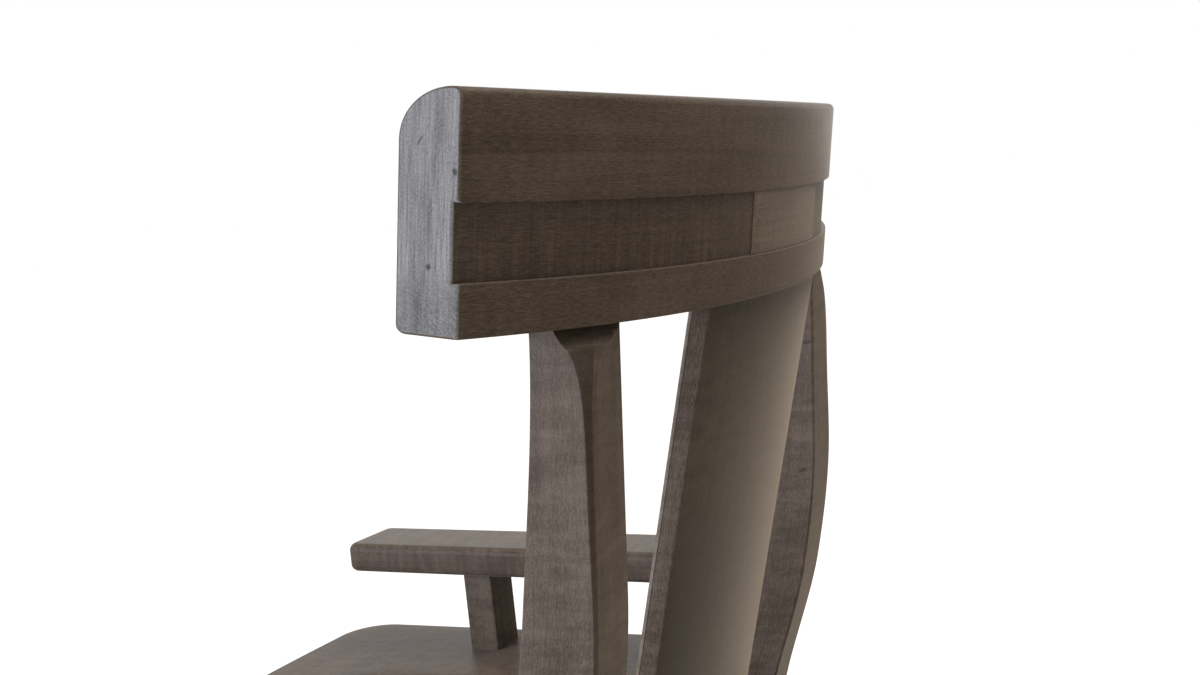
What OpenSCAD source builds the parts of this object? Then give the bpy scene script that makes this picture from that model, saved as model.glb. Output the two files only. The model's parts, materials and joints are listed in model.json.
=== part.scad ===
// Dining armchair in solid hardwood: bent crest rail, bowed back posts, one wide splat, scooped seat.
// Millimetres. It faces -Y and stands on Z = 0. Left is the sitter's left, on the +X side.

/* [Overall] */
// Height of the crest rail's top, at its middle, above the floor
crest_top_h = 985; // [965:5:1005]
// Height of the seat's rim above the floor
seat_top_h = 483; // [475:1:489]
// Rise of the arms' top above the seat's rim, at the posts
arm_rise = 105; // [95:1:112]

/* [Crest rail] */
// Length of the crest rail, straight across from end to end
crest_len = 670; // [630:5:700]
// Height of the crest rail
crest_h = 130; // [120:2:140]
// Thickness of the crest rail
crest_t = 32.5; // [31:0.5:36]
// Radius of the crest rail's rear face, in plan
crest_r = 712; // [640:4:780]
// Backward lean of the crest rail, in degrees
crest_lean = 9; // [6:0.2:11]
// Height of the plain band under the groove
band_low_h = 29; // [24:1:34]
// Height of the groove along the rear face
groove_h = 42; // [36:1:48]
// Depth of the groove
groove_d = 3.8; // [3:0.2:5]
// Radius of the rounded front top edge
crest_round = 26; // [20:1:28]
// Small round on the other long edges
crest_ease = 2; // [1:0.5:4]

/* [Groove blocks] */
// Width of each of the two blocks let into the groove, from the rail's middle
block_w = 77; // [60:1:90]
// Width of the bevel at a block's outer end
block_bevel = 8; // [6:0.5:12]
// How far the blocks stay below the bands' face
block_set = 1.5; // [0.5:0.5:2.5]
// Open joint between the two blocks
block_joint = 0.3; // [0.2:0.1:0.6]

/* [Back posts] */
// Distance between the middles of the posts
post_span = 481; // [470:1:492]
// Width of a post
post_w = 52.5; // [48:0.5:56]
// Depth of a post under the crest rail
post_top_d = 34.5; // [32:0.5:36]
// Depth of a post where it starts to bow forward
post_bend_d = 46; // [43:1:49]
// Depth of a post at the knee
post_knee_d = 50; // [46:1:54]
// Depth of a rear leg at the floor
post_foot_d = 36; // [32:1:42]
// Height where the post starts to bow forward
bend_h = 700; // [680:5:720]
// Forward set of the post's rear edge there, from the crest's rear face
post_bend_set = 53.5; // [51:0.5:56]
// Drop of the knee, where the rear leg is furthest forward, below the seat's rim
knee_drop = 83; // [73:1:93]
// Forward set of the post's rear edge at the knee
post_knee_set = 126; // [118:1:130]
// Forward set of the post's rear edge at the arms' top
post_arm_set = 73; // [70:1:76]
// Forward set of the rear foot's rear edge
post_foot_set = 30; // [10:2:44]

/* [Post scoop] */
// Radius of the scoop cut out of the post's outer rear corner
scoop_r = 32; // [30:1:34]
// Height of the scoop's centre line above the post's top end
scoop_up = 13; // [12:0.5:14]
// How far the scoop's floor lies inside the crest rail's rear face, at the post's top end
scoop_set = 9; // [7:0.5:10]

/* [Splat] */
// Width of the splat
splat_w = 254; // [230:2:274]
// Thickness of the splat
splat_t = 14; // [12.5:0.5:16]
// Depth of the splat's bow across its width
splat_belly = 9; // [5:0.5:10]
// Forward set of the splat's rear face behind its middle, at the crest
splat_top_set = 7.5; // [7:0.5:10]
// Forward set of the splat's rear face behind its middle, at the seat
splat_foot_set = 104; // [102:1:107]
// Length of the splat's tenons
splat_tenon = 20; // [14:1:24]
// Shoulder at each end of the splat's tenons
splat_shoulder = 15; // [10:1:20]

/* [Arms] */
// Width of an arm
arm_w = 75; // [70:1:80]
// Thickness of an arm
arm_t = 30; // [28:1:34]
// Distance between the arms' inner edges
arm_gap = 481; // [471:1:489]
// Length of an arm in front of the post
arm_reach = 448; // [432:4:468]
// Rise of the arms towards their front ends, in degrees
arm_tilt = 1; // [0:0.25:2]
// Length of the arm's tail along the post's outer side
arm_tail = 34; // [26:1:40]
// How far an arm's outer front corner lies behind its inner one
arm_cut = 6; // [0:2:14]
// Radius of an arm's corners in plan
arm_corner = 11; // [7:1:14]

/* [Arm supports] */
// Width of an arm support, across the chair
support_w = 45; // [40:1:48]
// Depth of an arm support, along the chair
support_d = 32; // [28:1:38]
// Distance from an arm's inner edge to its support's middle
support_in = 35; // [32:1:40]
// Set-back of the support's middle from the arm's front end
support_back = 147; // [129:3:165]
// Length of the support's tenons
support_tenon = 18; // [14:1:22]
// Shoulder all round the support's tenons
support_shoulder = 7; // [5:1:9]

/* [Seat] */
// Width of the seat at its front
seat_front_w = 648; // [630:2:670]
// Width of the seat at the posts' front faces
seat_rear_w = 640; // [610:2:660]
// Thickness of the seat
seat_t = 34; // [32:1:38]
// How far the seat's front edge lies ahead of the arms' front ends
seat_lead = 62; // [52:2:72]
// Width of solid wood between the splat's foot and the seat's rear edge
seat_tail = 16; // [12:1:20]
// Bow of the seat's front edge
seat_bow = 14; // [6:1:20]
// Radius of the seat's front corners
seat_corner = 50; // [36:2:60]
// Radius of the seat's rear corners, outside the posts
seat_rear_corner = 26; // [10:2:34]
// Depth of the hollow scooped in the seat
hollow_d = 13; // [8:1:15]
// Width of the hollow scooped in the seat
hollow_w = 420; // [380:4:430]

/* [Front legs] */
// Width of a front leg at its top
leg_w = 48; // [46:1:54]
// Width of a front leg at the floor
leg_foot_w = 34; // [30:1:40]
// Set-back of the front legs' front faces from the seat's front edge
leg_set = 40; // [30:2:50]
// Distance between the middles of the front legs
leg_span = 514; // [506:1:516]

/* [Aprons and stretchers] */
// Height of the aprons
apron_h = 66; // [60:2:72]
// Thickness of the aprons
apron_t = 22; // [20:1:26]
// Distance between the middles of the side aprons, and of the side stretchers
apron_span = 490; // [488:1:494]
// Length of the aprons' tenons
apron_tenon = 18; // [14:1:20]
// Thickness of the tenons on aprons and stretchers
tenon_t = 9; // [8:0.5:11]
// Shoulder above and below those tenons
tenon_shoulder = 8; // [5:1:10]
// Set-back of the front apron's face from the front legs' front faces
apron_face_set = 6; // [3:1:10]
// Height of the stretchers' middle above the floor
stretcher_h = 150; // [136:2:170]
// Height of a stretcher's section
stretcher_sec_h = 34; // [30:1:38]
// Thickness of a stretcher
stretcher_t = 20; // [18:1:24]
// Length of the stretchers' tenons
stretcher_tenon = 14; // [10:1:16]

/* [Corner blocks] */
// Length of a triangular corner block along each apron
block_leg = 64; // [58:2:70]
// Height of a corner block
block_h = 34; // [30:1:40]

/* [Fasteners and fittings] */
// Diameter of the dowels between the posts and the crest rail
dowel_d = 10; // [8:0.5:11]
// Length of those dowels
dowel_len = 60; // [50:2:70]
// Distance between the two dowels of a post
dowel_pitch = 22; // [20:1:26]
// Distance of the dowels from the crest rail's rear face
dowel_set = 19; // [18:0.5:20]
// Diameter of the dowels between the arms and the posts
arm_dowel_d = 8; // [7:0.5:9]
// Length of those dowels
arm_dowel_len = 56; // [44:2:64]
// Distance between the two dowels of an arm, one above the other
arm_dowel_pitch = 14; // [12:0.5:16]
// Shank diameter of the wood screws under the seat
screw_d = 4.5; // [4:0.5:5]
// Head diameter of those screws
screw_head_d = 9; // [8:0.5:10]
// Head height of those screws
screw_head_h = 3; // [2.5:0.5:4]
// Bite of those screws in the far piece
screw_bite = 14; // [12:1:17]
// Distance of a corner block's two level screws from its square corner
side_screw_set = 38; // [36:1:40]
// Height between a corner block's two level screws
side_screw_pitch = 16; // [14:1:18]
// Distance of a seat screw from its corner block's two square faces
seat_screw_set = 24; // [22:0.5:26]
// Diameter of the floor glides
glide_d = 26; // [22:1:30]
// Thickness of the floor glides
glide_t = 4; // [3:0.5:6]
// Diameter of a glide's pin
glide_pin_d = 4; // [3:0.5:5]
// Length of a glide's pin
glide_pin_len = 14; // [10:1:18]

/* [Fits] */
// Clearance round tenons, dowels, screws and posts, on each side
fit = 0.1; // [0.05:0.05:0.2]
// Space left past the end of a tenon, dowel or screw
end_gap = 0.25; // [0.2:0.05:0.3]

/* [Hidden] */
$fn = 48;
round_fn = 360; // for the long radii of the crest rail and the splat
over = 1; // overshoot of a cutting solid past the face it cuts
far = 900; // size of a half-space solid
profile_steps = 14; // steps of the post's outline between two stations
bend_taper = 1.3; // the post's taper at its bend, against the average taper above it
foot_splay = 1.2; // the rear foot's slope, against the average slope up to the knee
tenon_back = 3; // how far a side stretcher's rear tenon starts inside the rail, in overshoots
wood = "#5b5048";
wood_dark = "#4a4038";
wood_light = "#7a6f64";
steel = "#a9a7a2";
nylon = "#3a3836";

// Heights
crest_foot_h = crest_top_h - crest_h * cos(crest_lean);
seat_under_h = seat_top_h - seat_t;
apron_low_h = seat_under_h - apron_h;
knee_h = seat_top_h - knee_drop;
arm_top_h = seat_top_h + arm_rise;
arm_mid_h = arm_top_h - arm_t / 2;

// The crest rail's own frame starts at the middle of its rear face's lower edge and leans with it
function crest_back(x) = sqrt(crest_r * crest_r - x * x) - crest_r;
function crest_world_y(y, z) = y * cos(crest_lean) + z * sin(crest_lean);
function crest_world_z(y, z) = crest_foot_h - y * sin(crest_lean) + z * cos(crest_lean);

// The post's rear edge and depth pass through stations [height, value, slope]
post_x = post_span / 2;
post_top_y = crest_world_y(crest_back(post_x), 0);
post_top_h = crest_world_z(crest_back(post_x), 0);
upper_slope = (post_top_y + post_bend_set) / (post_top_h - bend_h);
arm_slope = (post_knee_set - post_bend_set) / (bend_h - knee_h);
foot_slope = -foot_splay * (post_knee_set - post_foot_set) / knee_h;
taper_slope = -bend_taper * (post_bend_d - post_top_d) / (post_top_h - bend_h);
rear_stations = [
    [0, -post_foot_set, foot_slope],
    [knee_h, -post_knee_set, 0],
    [arm_top_h, -post_arm_set, arm_slope],
    [bend_h, -post_bend_set, upper_slope],
    [post_top_h + crest_t, post_top_y + upper_slope * crest_t, upper_slope],
];
depth_stations = [
    [0, post_foot_d, 0],
    [knee_h, post_knee_d, 0],
    [bend_h, post_bend_d, taper_slope],
    [post_top_h, post_top_d, 0],
    [post_top_h + crest_t, post_top_d, 0],
];

function hermite(t, a, b, slope_a, slope_b) =
    (2 * t ^ 3 - 3 * t ^ 2 + 1) * a + (t ^ 3 - 2 * t ^ 2 + t) * slope_a
    + (3 * t ^ 2 - 2 * t ^ 3) * b + (t ^ 3 - t ^ 2) * slope_b;
function at_station(s, z, i = 0) =
    z > s[i + 1][0] && i < len(s) - 2 ? at_station(s, z, i + 1) :
    let (span = s[i + 1][0] - s[i][0])
    hermite((z - s[i][0]) / span, s[i][1], s[i + 1][1], s[i][2] * span, s[i + 1][2] * span);
function post_rear(z) = at_station(rear_stations, z);
function post_front(z) = post_rear(z) - at_station(depth_stations, z);
function post_mid(z) = (post_rear(z) + post_front(z)) / 2;

// Seat, arms and front legs, placed from the post's front face at arm height
arm_front = post_front(arm_mid_h) - arm_reach;
arm_in_x = arm_gap / 2;
seat_front = arm_front - seat_lead;
seat_rear = -splat_foot_set + seat_tail;
seat_shoulder_y = post_front(seat_top_h);
support_x = arm_in_x + support_in;
support_y = arm_front + support_back;
arm_pivot_y = post_front(arm_mid_h);
arm_under_h = arm_top_h + (arm_pivot_y - support_y) * tan(arm_tilt) - arm_t / cos(arm_tilt);
leg_x = leg_span / 2;
leg_face = seat_front + leg_set;
leg_y = leg_face + leg_w / 2;
apron_x = apron_span / 2;
front_apron_y = leg_face + apron_face_set + apron_t / 2;
rear_apron_y = post_mid(seat_under_h - apron_h / 2);

// The splat: a straight board bowed across its width, leaning from the seat to the crest rail
splat_foot_y = -splat_foot_set;
splat_head_y = crest_world_y(-splat_top_set, 0);
splat_head_h = crest_world_z(-splat_top_set, 0);
splat_angle = atan((splat_head_y - splat_foot_y) / (splat_head_h - seat_top_h));
splat_r = (splat_w ^ 2 / 4 + splat_belly ^ 2) / (2 * splat_belly);
splat_tenon_w = splat_w - 2 * splat_shoulder;
splat_drop = splat_r - sqrt(splat_r ^ 2 - splat_tenon_w ^ 2 / 4);
splat_tenon_t = splat_t - splat_drop;
splat_tenon_set = splat_drop + splat_tenon_t / 2;

// The whole chair is centred over the origin by its front and rear limits
rear_limit = (crest_h - crest_ease) * sin(crest_lean) + crest_ease * (1 - cos(crest_lean));
shift_y = -(seat_front + rear_limit) / 2;

function arc(c, r, a0, a1, n = 6) =
    [for (i = [0:n]) let (a = a0 + (a1 - a0) * i / n) c + r * [cos(a), sin(a)]];

module at_side(side) {
    if (side > 0) children();
    else mirror([1, 0, 0]) children();
}

module in_crest_frame() {
    translate([0, 0, crest_foot_h]) rotate([-crest_lean, 0, 0]) children();
}

// The arms' own frame rises towards the front, about the point where an arm meets its post
module in_arm_frame() {
    translate([0, arm_pivot_y, arm_top_h]) rotate([-arm_tilt, 0, 0])
        translate([0, -arm_pivot_y, -arm_top_h]) children();
}

// A box given by its centre and size, grown by a clearance on each side
module block(centre, size, grow = [0, 0, 0]) {
    translate(centre) cube(size + 2 * grow, center = true);
}

// A screw that starts at the origin and runs along +Z: head first, then shank
module screw(shank_d, head_d, head_h, length, grow = 0) {
    translate([0, 0, -grow]) cylinder(d = head_d + 2 * grow, h = head_h + grow);
    cylinder(d = shank_d + 2 * grow, h = length + (grow > 0 ? end_gap : 0));
}

// Crest rail

module crest_ring(r_in, r_out, low, high) {
    translate([0, -crest_r, 0]) rotate([0, 0, 90 - crest_half_angle])
        rotate_extrude(angle = 2 * crest_half_angle, $fn = round_fn)
            translate([r_in, low]) square([r_out - r_in, high - low]);
}
crest_half_angle = asin(crest_len / 2 / (crest_r - crest_t)) + 4;

module crest_section() {
    r_in = crest_r - crest_t;
    e = crest_ease;
    polygon(concat(
        arc([r_in + e, e], e, 180, 270),
        arc([crest_r - e, e], e, -90, 0),
        arc([crest_r - e, crest_h - e], e, 0, 90),
        arc([r_in + crest_round, crest_h - crest_round], crest_round, 90, 180, 10)
    ));
}

module crest_bar() {
    intersection() {
        translate([0, -crest_r, 0]) rotate([0, 0, 90 - crest_half_angle])
            rotate_extrude(angle = 2 * crest_half_angle, $fn = round_fn) crest_section();
        translate([-crest_len / 2, -crest_r / 2, -over]) cube([crest_len, crest_r, crest_h + 2 * over]);
    }
}

module dowel(grow = 0) {
    reach = dowel_len / 2 + (grow > 0 ? end_gap : 0);
    for (x = [-1, 1] * dowel_pitch / 2)
        translate([post_x + x, crest_back(post_x) - dowel_set, -reach])
            cylinder(d = dowel_d + 2 * grow, h = 2 * reach);
}

module splat_head_tenon(grow = 0, gap = 0) {
    block([0, -splat_top_set - splat_tenon_set, (splat_tenon + gap) / 2 - over / 2],
        [splat_tenon_w, splat_tenon_t, splat_tenon + gap + over], [grow, grow, 0]);
}

module crest_rail() {
    color(wood_dark) in_crest_frame() difference() {
        crest_bar();
        crest_ring(crest_r - groove_d, crest_r + over, band_low_h, band_low_h + groove_h);
        splat_head_tenon(fit, end_gap);
        for (side = [1, -1]) at_side(side) dowel(fit);
    }
}

// A block fills the groove from the rail's middle, and its outer end is bevelled down to the groove's floor
module groove_block(side) {
    end_t = (groove_d - block_set) / 3;
    bevel_angle = atan((groove_d - block_set - end_t) / block_bevel) + asin(block_w / crest_r);
    color(wood) in_crest_frame() at_side(side) difference() {
        intersection() {
            crest_ring(crest_r - groove_d, crest_r - block_set, band_low_h, band_low_h + groove_h);
            translate([block_joint / 2, -crest_r / 2, 0])
                cube([block_w - block_joint / 2, crest_r, crest_h]);
        }
        translate([block_w, crest_back(block_w) - groove_d + end_t, 0]) rotate([0, 0, -bevel_angle])
            translate([-block_w, 0, 0]) cube([2 * block_w, crest_r / 4, crest_h]);
    }
}

module crest_dowels() {
    color(wood_light) in_crest_frame() for (side = [1, -1]) at_side(side) dowel();
}

// Back posts, each one sawn piece with its rear leg

function post_heights() = concat(
    [for (i = [0:len(rear_stations) - 2], k = [0:profile_steps - 1])
        let (a = max(rear_stations[i][0], glide_t), b = rear_stations[i + 1][0])
        a + (b - a) * k / profile_steps],
    [rear_stations[len(rear_stations) - 1][0]]
);

// The scoop follows the crest rail's bend, so the post's top end curves as the rail does
module scoop_sweep() {
    path_r = crest_r - scoop_set + sqrt(scoop_r ^ 2 - scoop_up ^ 2);
    translate([0, -crest_r, 0]) rotate([0, 0, 90 - crest_half_angle])
        rotate_extrude(angle = crest_half_angle, $fn = round_fn)
            translate([path_r, scoop_up]) circle(scoop_r, $fn = round_fn / 2);
}

module post_blank(grow = 0) {
    zs = post_heights();
    top = len(zs) - 1;
    translate([post_x - post_w / 2 - grow, 0, 0]) rotate([90, 0, 90]) linear_extrude(post_w + 2 * grow)
        polygon(concat(
            [for (z = zs) [post_rear(z) + grow, z]],
            [for (i = [top:-1:0]) [post_front(zs[i]) - grow, zs[i]]]
        ));
}

module back_post_solid() {
    difference() {
        post_blank();
        in_crest_frame() {
            translate([-far / 2, -far / 2, 0]) cube(far);
            dowel(fit);
            scoop_sweep();
        }
        arm_dowel_pair(fit);
        side_apron_rear_tenon(fit, end_gap);
        side_stretcher_rear_tenon(fit, end_gap);
        rear_apron_tenon(fit, end_gap);
        rear_glide(fit);
    }
}

module back_post(side) {
    color(wood) at_side(side) back_post_solid();
}

// Splat

module splat_foot_tenon(grow = 0, gap = 0) {
    block([0, splat_foot_y - splat_tenon_set, seat_top_h - (splat_tenon + gap) / 2 + over / 2],
        [splat_tenon_w, splat_tenon_t, splat_tenon + gap + over], [grow, grow, 0]);
}

module splat_board() {
    translate([0, splat_foot_y, seat_top_h]) rotate([-splat_angle, 0, 0])
        translate([0, 0, -far / 8]) linear_extrude(splat_head_h - seat_top_h + far / 4)
            translate([0, -splat_r]) intersection() {
                difference() {
                    circle(splat_r, $fn = round_fn);
                    circle(splat_r - splat_t, $fn = round_fn);
                }
                translate([-splat_w / 2, 0]) square([splat_w, splat_r + over]);
            }
}

module back_splat() {
    color(wood_dark) {
        difference() {
            splat_board();
            in_crest_frame() translate([-far / 2, -far / 2, 0]) cube(far);
            translate([-far / 2, -far / 2, seat_top_h - far]) cube(far);
        }
        in_crest_frame() splat_head_tenon();
        splat_foot_tenon();
    }
}

// Seat

function seat_half_at(y) = seat_rear_w / 2
    + (seat_front_w - seat_rear_w) / 2 * (seat_shoulder_y - y) / (seat_shoulder_y - seat_front);

module seat_outline() {
    corner_x = seat_half_at(seat_front + seat_bow + seat_corner) - seat_corner;
    corner_y = seat_front + seat_bow + seat_corner;
    notch_x = post_x - post_w / 2 - fit;
    notch_y = seat_shoulder_y - fit;
    shoulder_x = seat_half_at(seat_shoulder_y);
    bow_r = (corner_x ^ 2 + seat_bow ^ 2) / (2 * seat_bow);
    bow_half = asin(corner_x / bow_r);
    polygon(concat(
        [[notch_x, seat_rear], [notch_x, notch_y]],
        arc([shoulder_x - seat_rear_corner, notch_y - seat_rear_corner], seat_rear_corner, 90, 0),
        arc([corner_x, corner_y], seat_corner, 0, -90, 10),
        arc([0, seat_front + bow_r], bow_r, -90 + bow_half, -90 - bow_half, 16),
        arc([-corner_x, corner_y], seat_corner, -90, -180, 10),
        arc([seat_rear_corner - shoulder_x, notch_y - seat_rear_corner], seat_rear_corner, 180, 90),
        [[-notch_x, notch_y], [-notch_x, seat_rear]]
    ));
}

module seat_hollow() {
    r = (hollow_w ^ 2 / 4 + hollow_d ^ 2) / (2 * hollow_d);
    half = asin(hollow_w / 2 / r);
    middle_y = (seat_shoulder_y + seat_front + seat_bow) / 2;
    translate([0, middle_y, seat_top_h]) rotate_extrude($fn = round_fn / 2)
        polygon(concat([[0, over]], arc([0, r - hollow_d], r, -90, -90 + half, 8), [[hollow_w / 2, over]]));
}

module seat() {
    color(wood) difference() {
        translate([0, 0, seat_under_h]) linear_extrude(seat_t) seat_outline();
        seat_hollow();
        splat_foot_tenon(fit, end_gap);
        for (side = [1, -1]) at_side(side) {
            post_blank(fit);
            support_foot_tenon(fit, end_gap);
            support_screw(fit);
            seat_screw_pair(fit);
        }
    }
}

// Arms and their supports

module arm_outline() {
    out_x = arm_in_x + arm_w;
    c = arm_corner;
    slant = atan2(arm_cut, arm_w);
    tail_y = post_front(arm_mid_h) + arm_tail;
    polygon(concat(
        [[arm_in_x, tail_y]],
        arc([arm_in_x + c, arm_front + c * (1 + tan(slant / 2))], c, 180, 270 + slant),
        arc([out_x - c, arm_front + arm_cut + c * tan(45 - slant / 2)], c, 270 + slant, 360),
        arc([out_x - c, tail_y - c], c, 0, 90)
    ));
}

module support_head_tenon(grow = 0, gap = 0) {
    block([support_x, support_y, arm_under_h + (support_tenon + gap) / 2 - over / 2],
        [support_w - 2 * support_shoulder, support_d - 2 * support_shoulder, support_tenon + gap + over],
        [grow, grow, 0]);
}

module support_foot_tenon(grow = 0, gap = 0) {
    block([support_x, support_y, seat_top_h - (support_tenon + gap) / 2 + over / 2],
        [support_w - 2 * support_shoulder, support_d - 2 * support_shoulder, support_tenon + gap + over],
        [grow, grow, 0]);
}

// Dowels join the arm's butt to the post's front face, one above the other
arm_dowel_x = (arm_in_x + post_x + post_w / 2) / 2;
module arm_dowel_pair(grow = 0) {
    reach = arm_dowel_len / 2 + (grow > 0 ? end_gap : 0);
    in_arm_frame() for (s = [-1, 1])
        translate([arm_dowel_x, arm_pivot_y + reach, arm_mid_h + s * arm_dowel_pitch / 2])
            rotate([90, 0, 0]) cylinder(d = arm_dowel_d + 2 * grow, h = 2 * reach);
}

module arm_solid() {
    difference() {
        in_arm_frame() translate([0, 0, arm_top_h - arm_t]) linear_extrude(arm_t) arm_outline();
        post_blank(fit);
        support_head_tenon(fit, end_gap);
        arm_dowel_pair(fit);
    }
}

module arm(side) {
    color(wood_light) at_side(side) arm_solid();
}

module arm_support(side) {
    color(wood) at_side(side) difference() {
        union() {
            difference() {
                block([support_x, support_y, (seat_top_h + arm_top_h) / 2],
                    [support_w, support_d, arm_top_h - seat_top_h]);
                in_arm_frame() translate([0, support_y - support_d, arm_top_h - arm_t])
                    cube([2 * support_x, 2 * support_d, 2 * arm_t]);
            }
            support_head_tenon();
            support_foot_tenon();
        }
        support_screw(fit);
    }
}

// A screw up through the seat into the support's foot
module support_screw(grow = 0) {
    translate([support_x, support_y, seat_under_h])
        screw(screw_d, screw_head_d, screw_head_h, seat_t + screw_bite, grow);
}

// Front legs

module leg_taper() {
    half = leg_w / 2;
    foot = leg_w - leg_foot_w;
    points = [[-half, seat_under_h], [half, seat_under_h], [half, apron_low_h],
        [half, glide_t], [-half + foot, glide_t], [-half, apron_low_h]];
    // The taper is on the two inner faces, so the outer corner of the leg stays straight
    intersection() {
        rotate([90, 0, 0]) translate([0, 0, -half]) linear_extrude(leg_w)
            polygon(points);
        rotate([90, 0, 90]) translate([0, 0, -half]) linear_extrude(leg_w)
            polygon([for (p = points) [-p[0], p[1]]]);
    }
}

module front_leg_solid() {
    difference() {
        translate([leg_x, leg_y, 0]) leg_taper();
        side_apron_front_tenon(fit, end_gap);
        front_apron_tenon(fit, end_gap);
        side_stretcher_front_tenon(fit, end_gap);
        front_glide(fit);
    }
}

module front_leg(side) {
    color(wood) at_side(side) front_leg_solid();
}

// Aprons

apron_mid_h = seat_under_h - apron_h / 2;
apron_tenon_h = apron_h - 2 * tenon_shoulder;
leg_rear = leg_y + leg_w / 2;

module side_apron_front_tenon(grow = 0, gap = 0) {
    block([apron_x, leg_rear - (apron_tenon + gap) / 2 + over / 2, apron_mid_h],
        [tenon_t, apron_tenon + gap + over, apron_tenon_h], [grow, 0, grow]);
}

module side_apron_rear_tenon(grow = 0, gap = 0) {
    start = post_front(apron_low_h);
    block([apron_x, start + (apron_tenon + gap) / 2 - over / 2, apron_mid_h],
        [tenon_t, apron_tenon + gap + over, apron_tenon_h], [grow, 0, grow]);
}

module side_apron(side) {
    rear = over + max(post_front(apron_low_h), post_front(apron_mid_h), post_front(seat_under_h));
    color(wood) at_side(side) {
        difference() {
            block([apron_x, (leg_rear + rear) / 2, apron_mid_h], [apron_t, rear - leg_rear, apron_h]);
            post_blank();
            corner_screw_pairs(fit);
        }
        side_apron_front_tenon();
        side_apron_rear_tenon();
    }
}

// Front apron between the front legs
leg_inner_x = leg_x - leg_w / 2;
module front_apron_tenon(grow = 0, gap = 0) {
    tenon_y = front_apron_y + apron_t / 2 - tenon_t;
    block([leg_inner_x + (apron_tenon + gap) / 2 - over / 2, tenon_y, apron_mid_h],
        [apron_tenon + gap + over, tenon_t, apron_tenon_h], [0, grow, grow]);
}

module front_apron() {
    color(wood) difference() {
        union() {
            block([0, front_apron_y, apron_mid_h], [2 * leg_inner_x, apron_t, apron_h]);
            for (side = [1, -1]) at_side(side) front_apron_tenon();
        }
        for (side = [1, -1]) at_side(side) corner_screw_pairs(fit);
    }
}

// Rear apron between the posts
post_inner_x = post_x - post_w / 2;
module rear_apron_tenon(grow = 0, gap = 0) {
    block([post_inner_x + (apron_tenon + gap) / 2 - over / 2, rear_apron_y, apron_mid_h],
        [apron_tenon + gap + over, tenon_t, apron_tenon_h], [0, grow, grow]);
}

module rear_apron() {
    color(wood) difference() {
        union() {
            block([0, rear_apron_y, apron_mid_h], [2 * post_inner_x, apron_t, apron_h]);
            for (side = [1, -1]) at_side(side) rear_apron_tenon();
        }
        for (side = [1, -1]) at_side(side) corner_screw_pairs(fit);
    }
}

// Stretchers

stretcher_tenon_h = stretcher_sec_h - 2 * tenon_shoulder;
leg_taper_at = (leg_w - leg_foot_w) * (apron_low_h - stretcher_h) / (apron_low_h - glide_t);
stretcher_front = leg_rear - leg_taper_at;

module side_stretcher_front_tenon(grow = 0, gap = 0) {
    block([apron_x, stretcher_front - (stretcher_tenon + gap) / 2 + over, stretcher_h],
        [tenon_t, stretcher_tenon + gap + 2 * over, stretcher_tenon_h], [grow, 0, grow]);
}

module side_stretcher_rear_tenon(grow = 0, gap = 0) {
    start = post_front(stretcher_h);
    block([apron_x, start + (stretcher_tenon + gap) / 2 - tenon_back * over, stretcher_h],
        [tenon_t, stretcher_tenon + gap + 2 * tenon_back * over, stretcher_tenon_h], [grow, 0, grow]);
}

module side_stretcher(side) {
    rear = over + post_front(stretcher_h - stretcher_sec_h / 2);
    color(wood) at_side(side) {
        difference() {
            block([apron_x, (leg_y + rear) / 2, stretcher_h], [stretcher_t, rear - leg_y, stretcher_sec_h]);
            post_blank();
            translate([leg_x, leg_y, 0]) leg_taper();
            cross_tenon(fit, end_gap);
        }
        side_stretcher_front_tenon();
        side_stretcher_rear_tenon();
    }
}

cross_x = apron_x - stretcher_t / 2;
cross_y = (stretcher_front + post_front(stretcher_h)) / 2;
cross_tenon_len = stretcher_t / 2;
module cross_tenon(grow = 0, gap = 0) {
    block([cross_x + (cross_tenon_len + gap) / 2 - over / 2, cross_y, stretcher_h],
        [cross_tenon_len + gap + over, tenon_t, stretcher_tenon_h], [0, grow, grow]);
}

module cross_stretcher() {
    color(wood) {
        block([0, cross_y, stretcher_h], [2 * cross_x, stretcher_t, stretcher_sec_h]);
        for (side = [1, -1]) at_side(side) cross_tenon();
    }
}

// Corner blocks under the seat, and their screws

block_x = apron_x - apron_t / 2;
block_top_h = seat_under_h;
block_mid_h = block_top_h - block_h / 2;
// Each corner: [inner face of the front or rear apron, direction into the frame]
corner_faces = [
    [front_apron_y + apron_t / 2, 1],
    [rear_apron_y - apron_t / 2, -1],
];
module corner_triangle(face, way) {
    translate([block_x, face, block_top_h - block_h]) linear_extrude(block_h)
        polygon([[0, 0], [-block_leg, 0], [0, way * block_leg]]);
}

// Places a screw that runs level into the side apron, then one into the front or rear apron
side_screw_depth = (block_leg - side_screw_set) / 2;
module at_side_screws(face, way) {
    translate([block_x - side_screw_depth, face + way * side_screw_set, block_mid_h + side_screw_pitch / 2])
        rotate([0, 90, 0]) children();
    translate([block_x - side_screw_set, face + way * side_screw_depth, block_mid_h - side_screw_pitch / 2])
        rotate([way * 90, 0, 0]) children();
}

module corner_screw_pair(face, way, grow = 0) {
    at_side_screws(face, way)
        screw(screw_d, screw_head_d, screw_head_h, side_screw_depth + screw_bite, grow);
}

module corner_screw_pairs(grow = 0) {
    for (c = corner_faces) corner_screw_pair(c[0], c[1], grow);
}

// Open way to each level screw's head from the block's slanting face
module corner_screw_ways(face, way) {
    at_side_screws(face, way) translate([0, 0, -block_leg])
        cylinder(d = screw_head_d + 2 * fit, h = block_leg + over / 2);
}

// A screw up through each block into the seat
module seat_screw_at(face, way, grow = 0) {
    translate([block_x - seat_screw_set, face + way * seat_screw_set, block_top_h - block_h])
        screw(screw_d, screw_head_d, screw_head_h, block_h + screw_bite, grow);
}

module seat_screw_pair(grow = 0) {
    for (c = corner_faces) seat_screw_at(c[0], c[1], grow);
}

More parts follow.
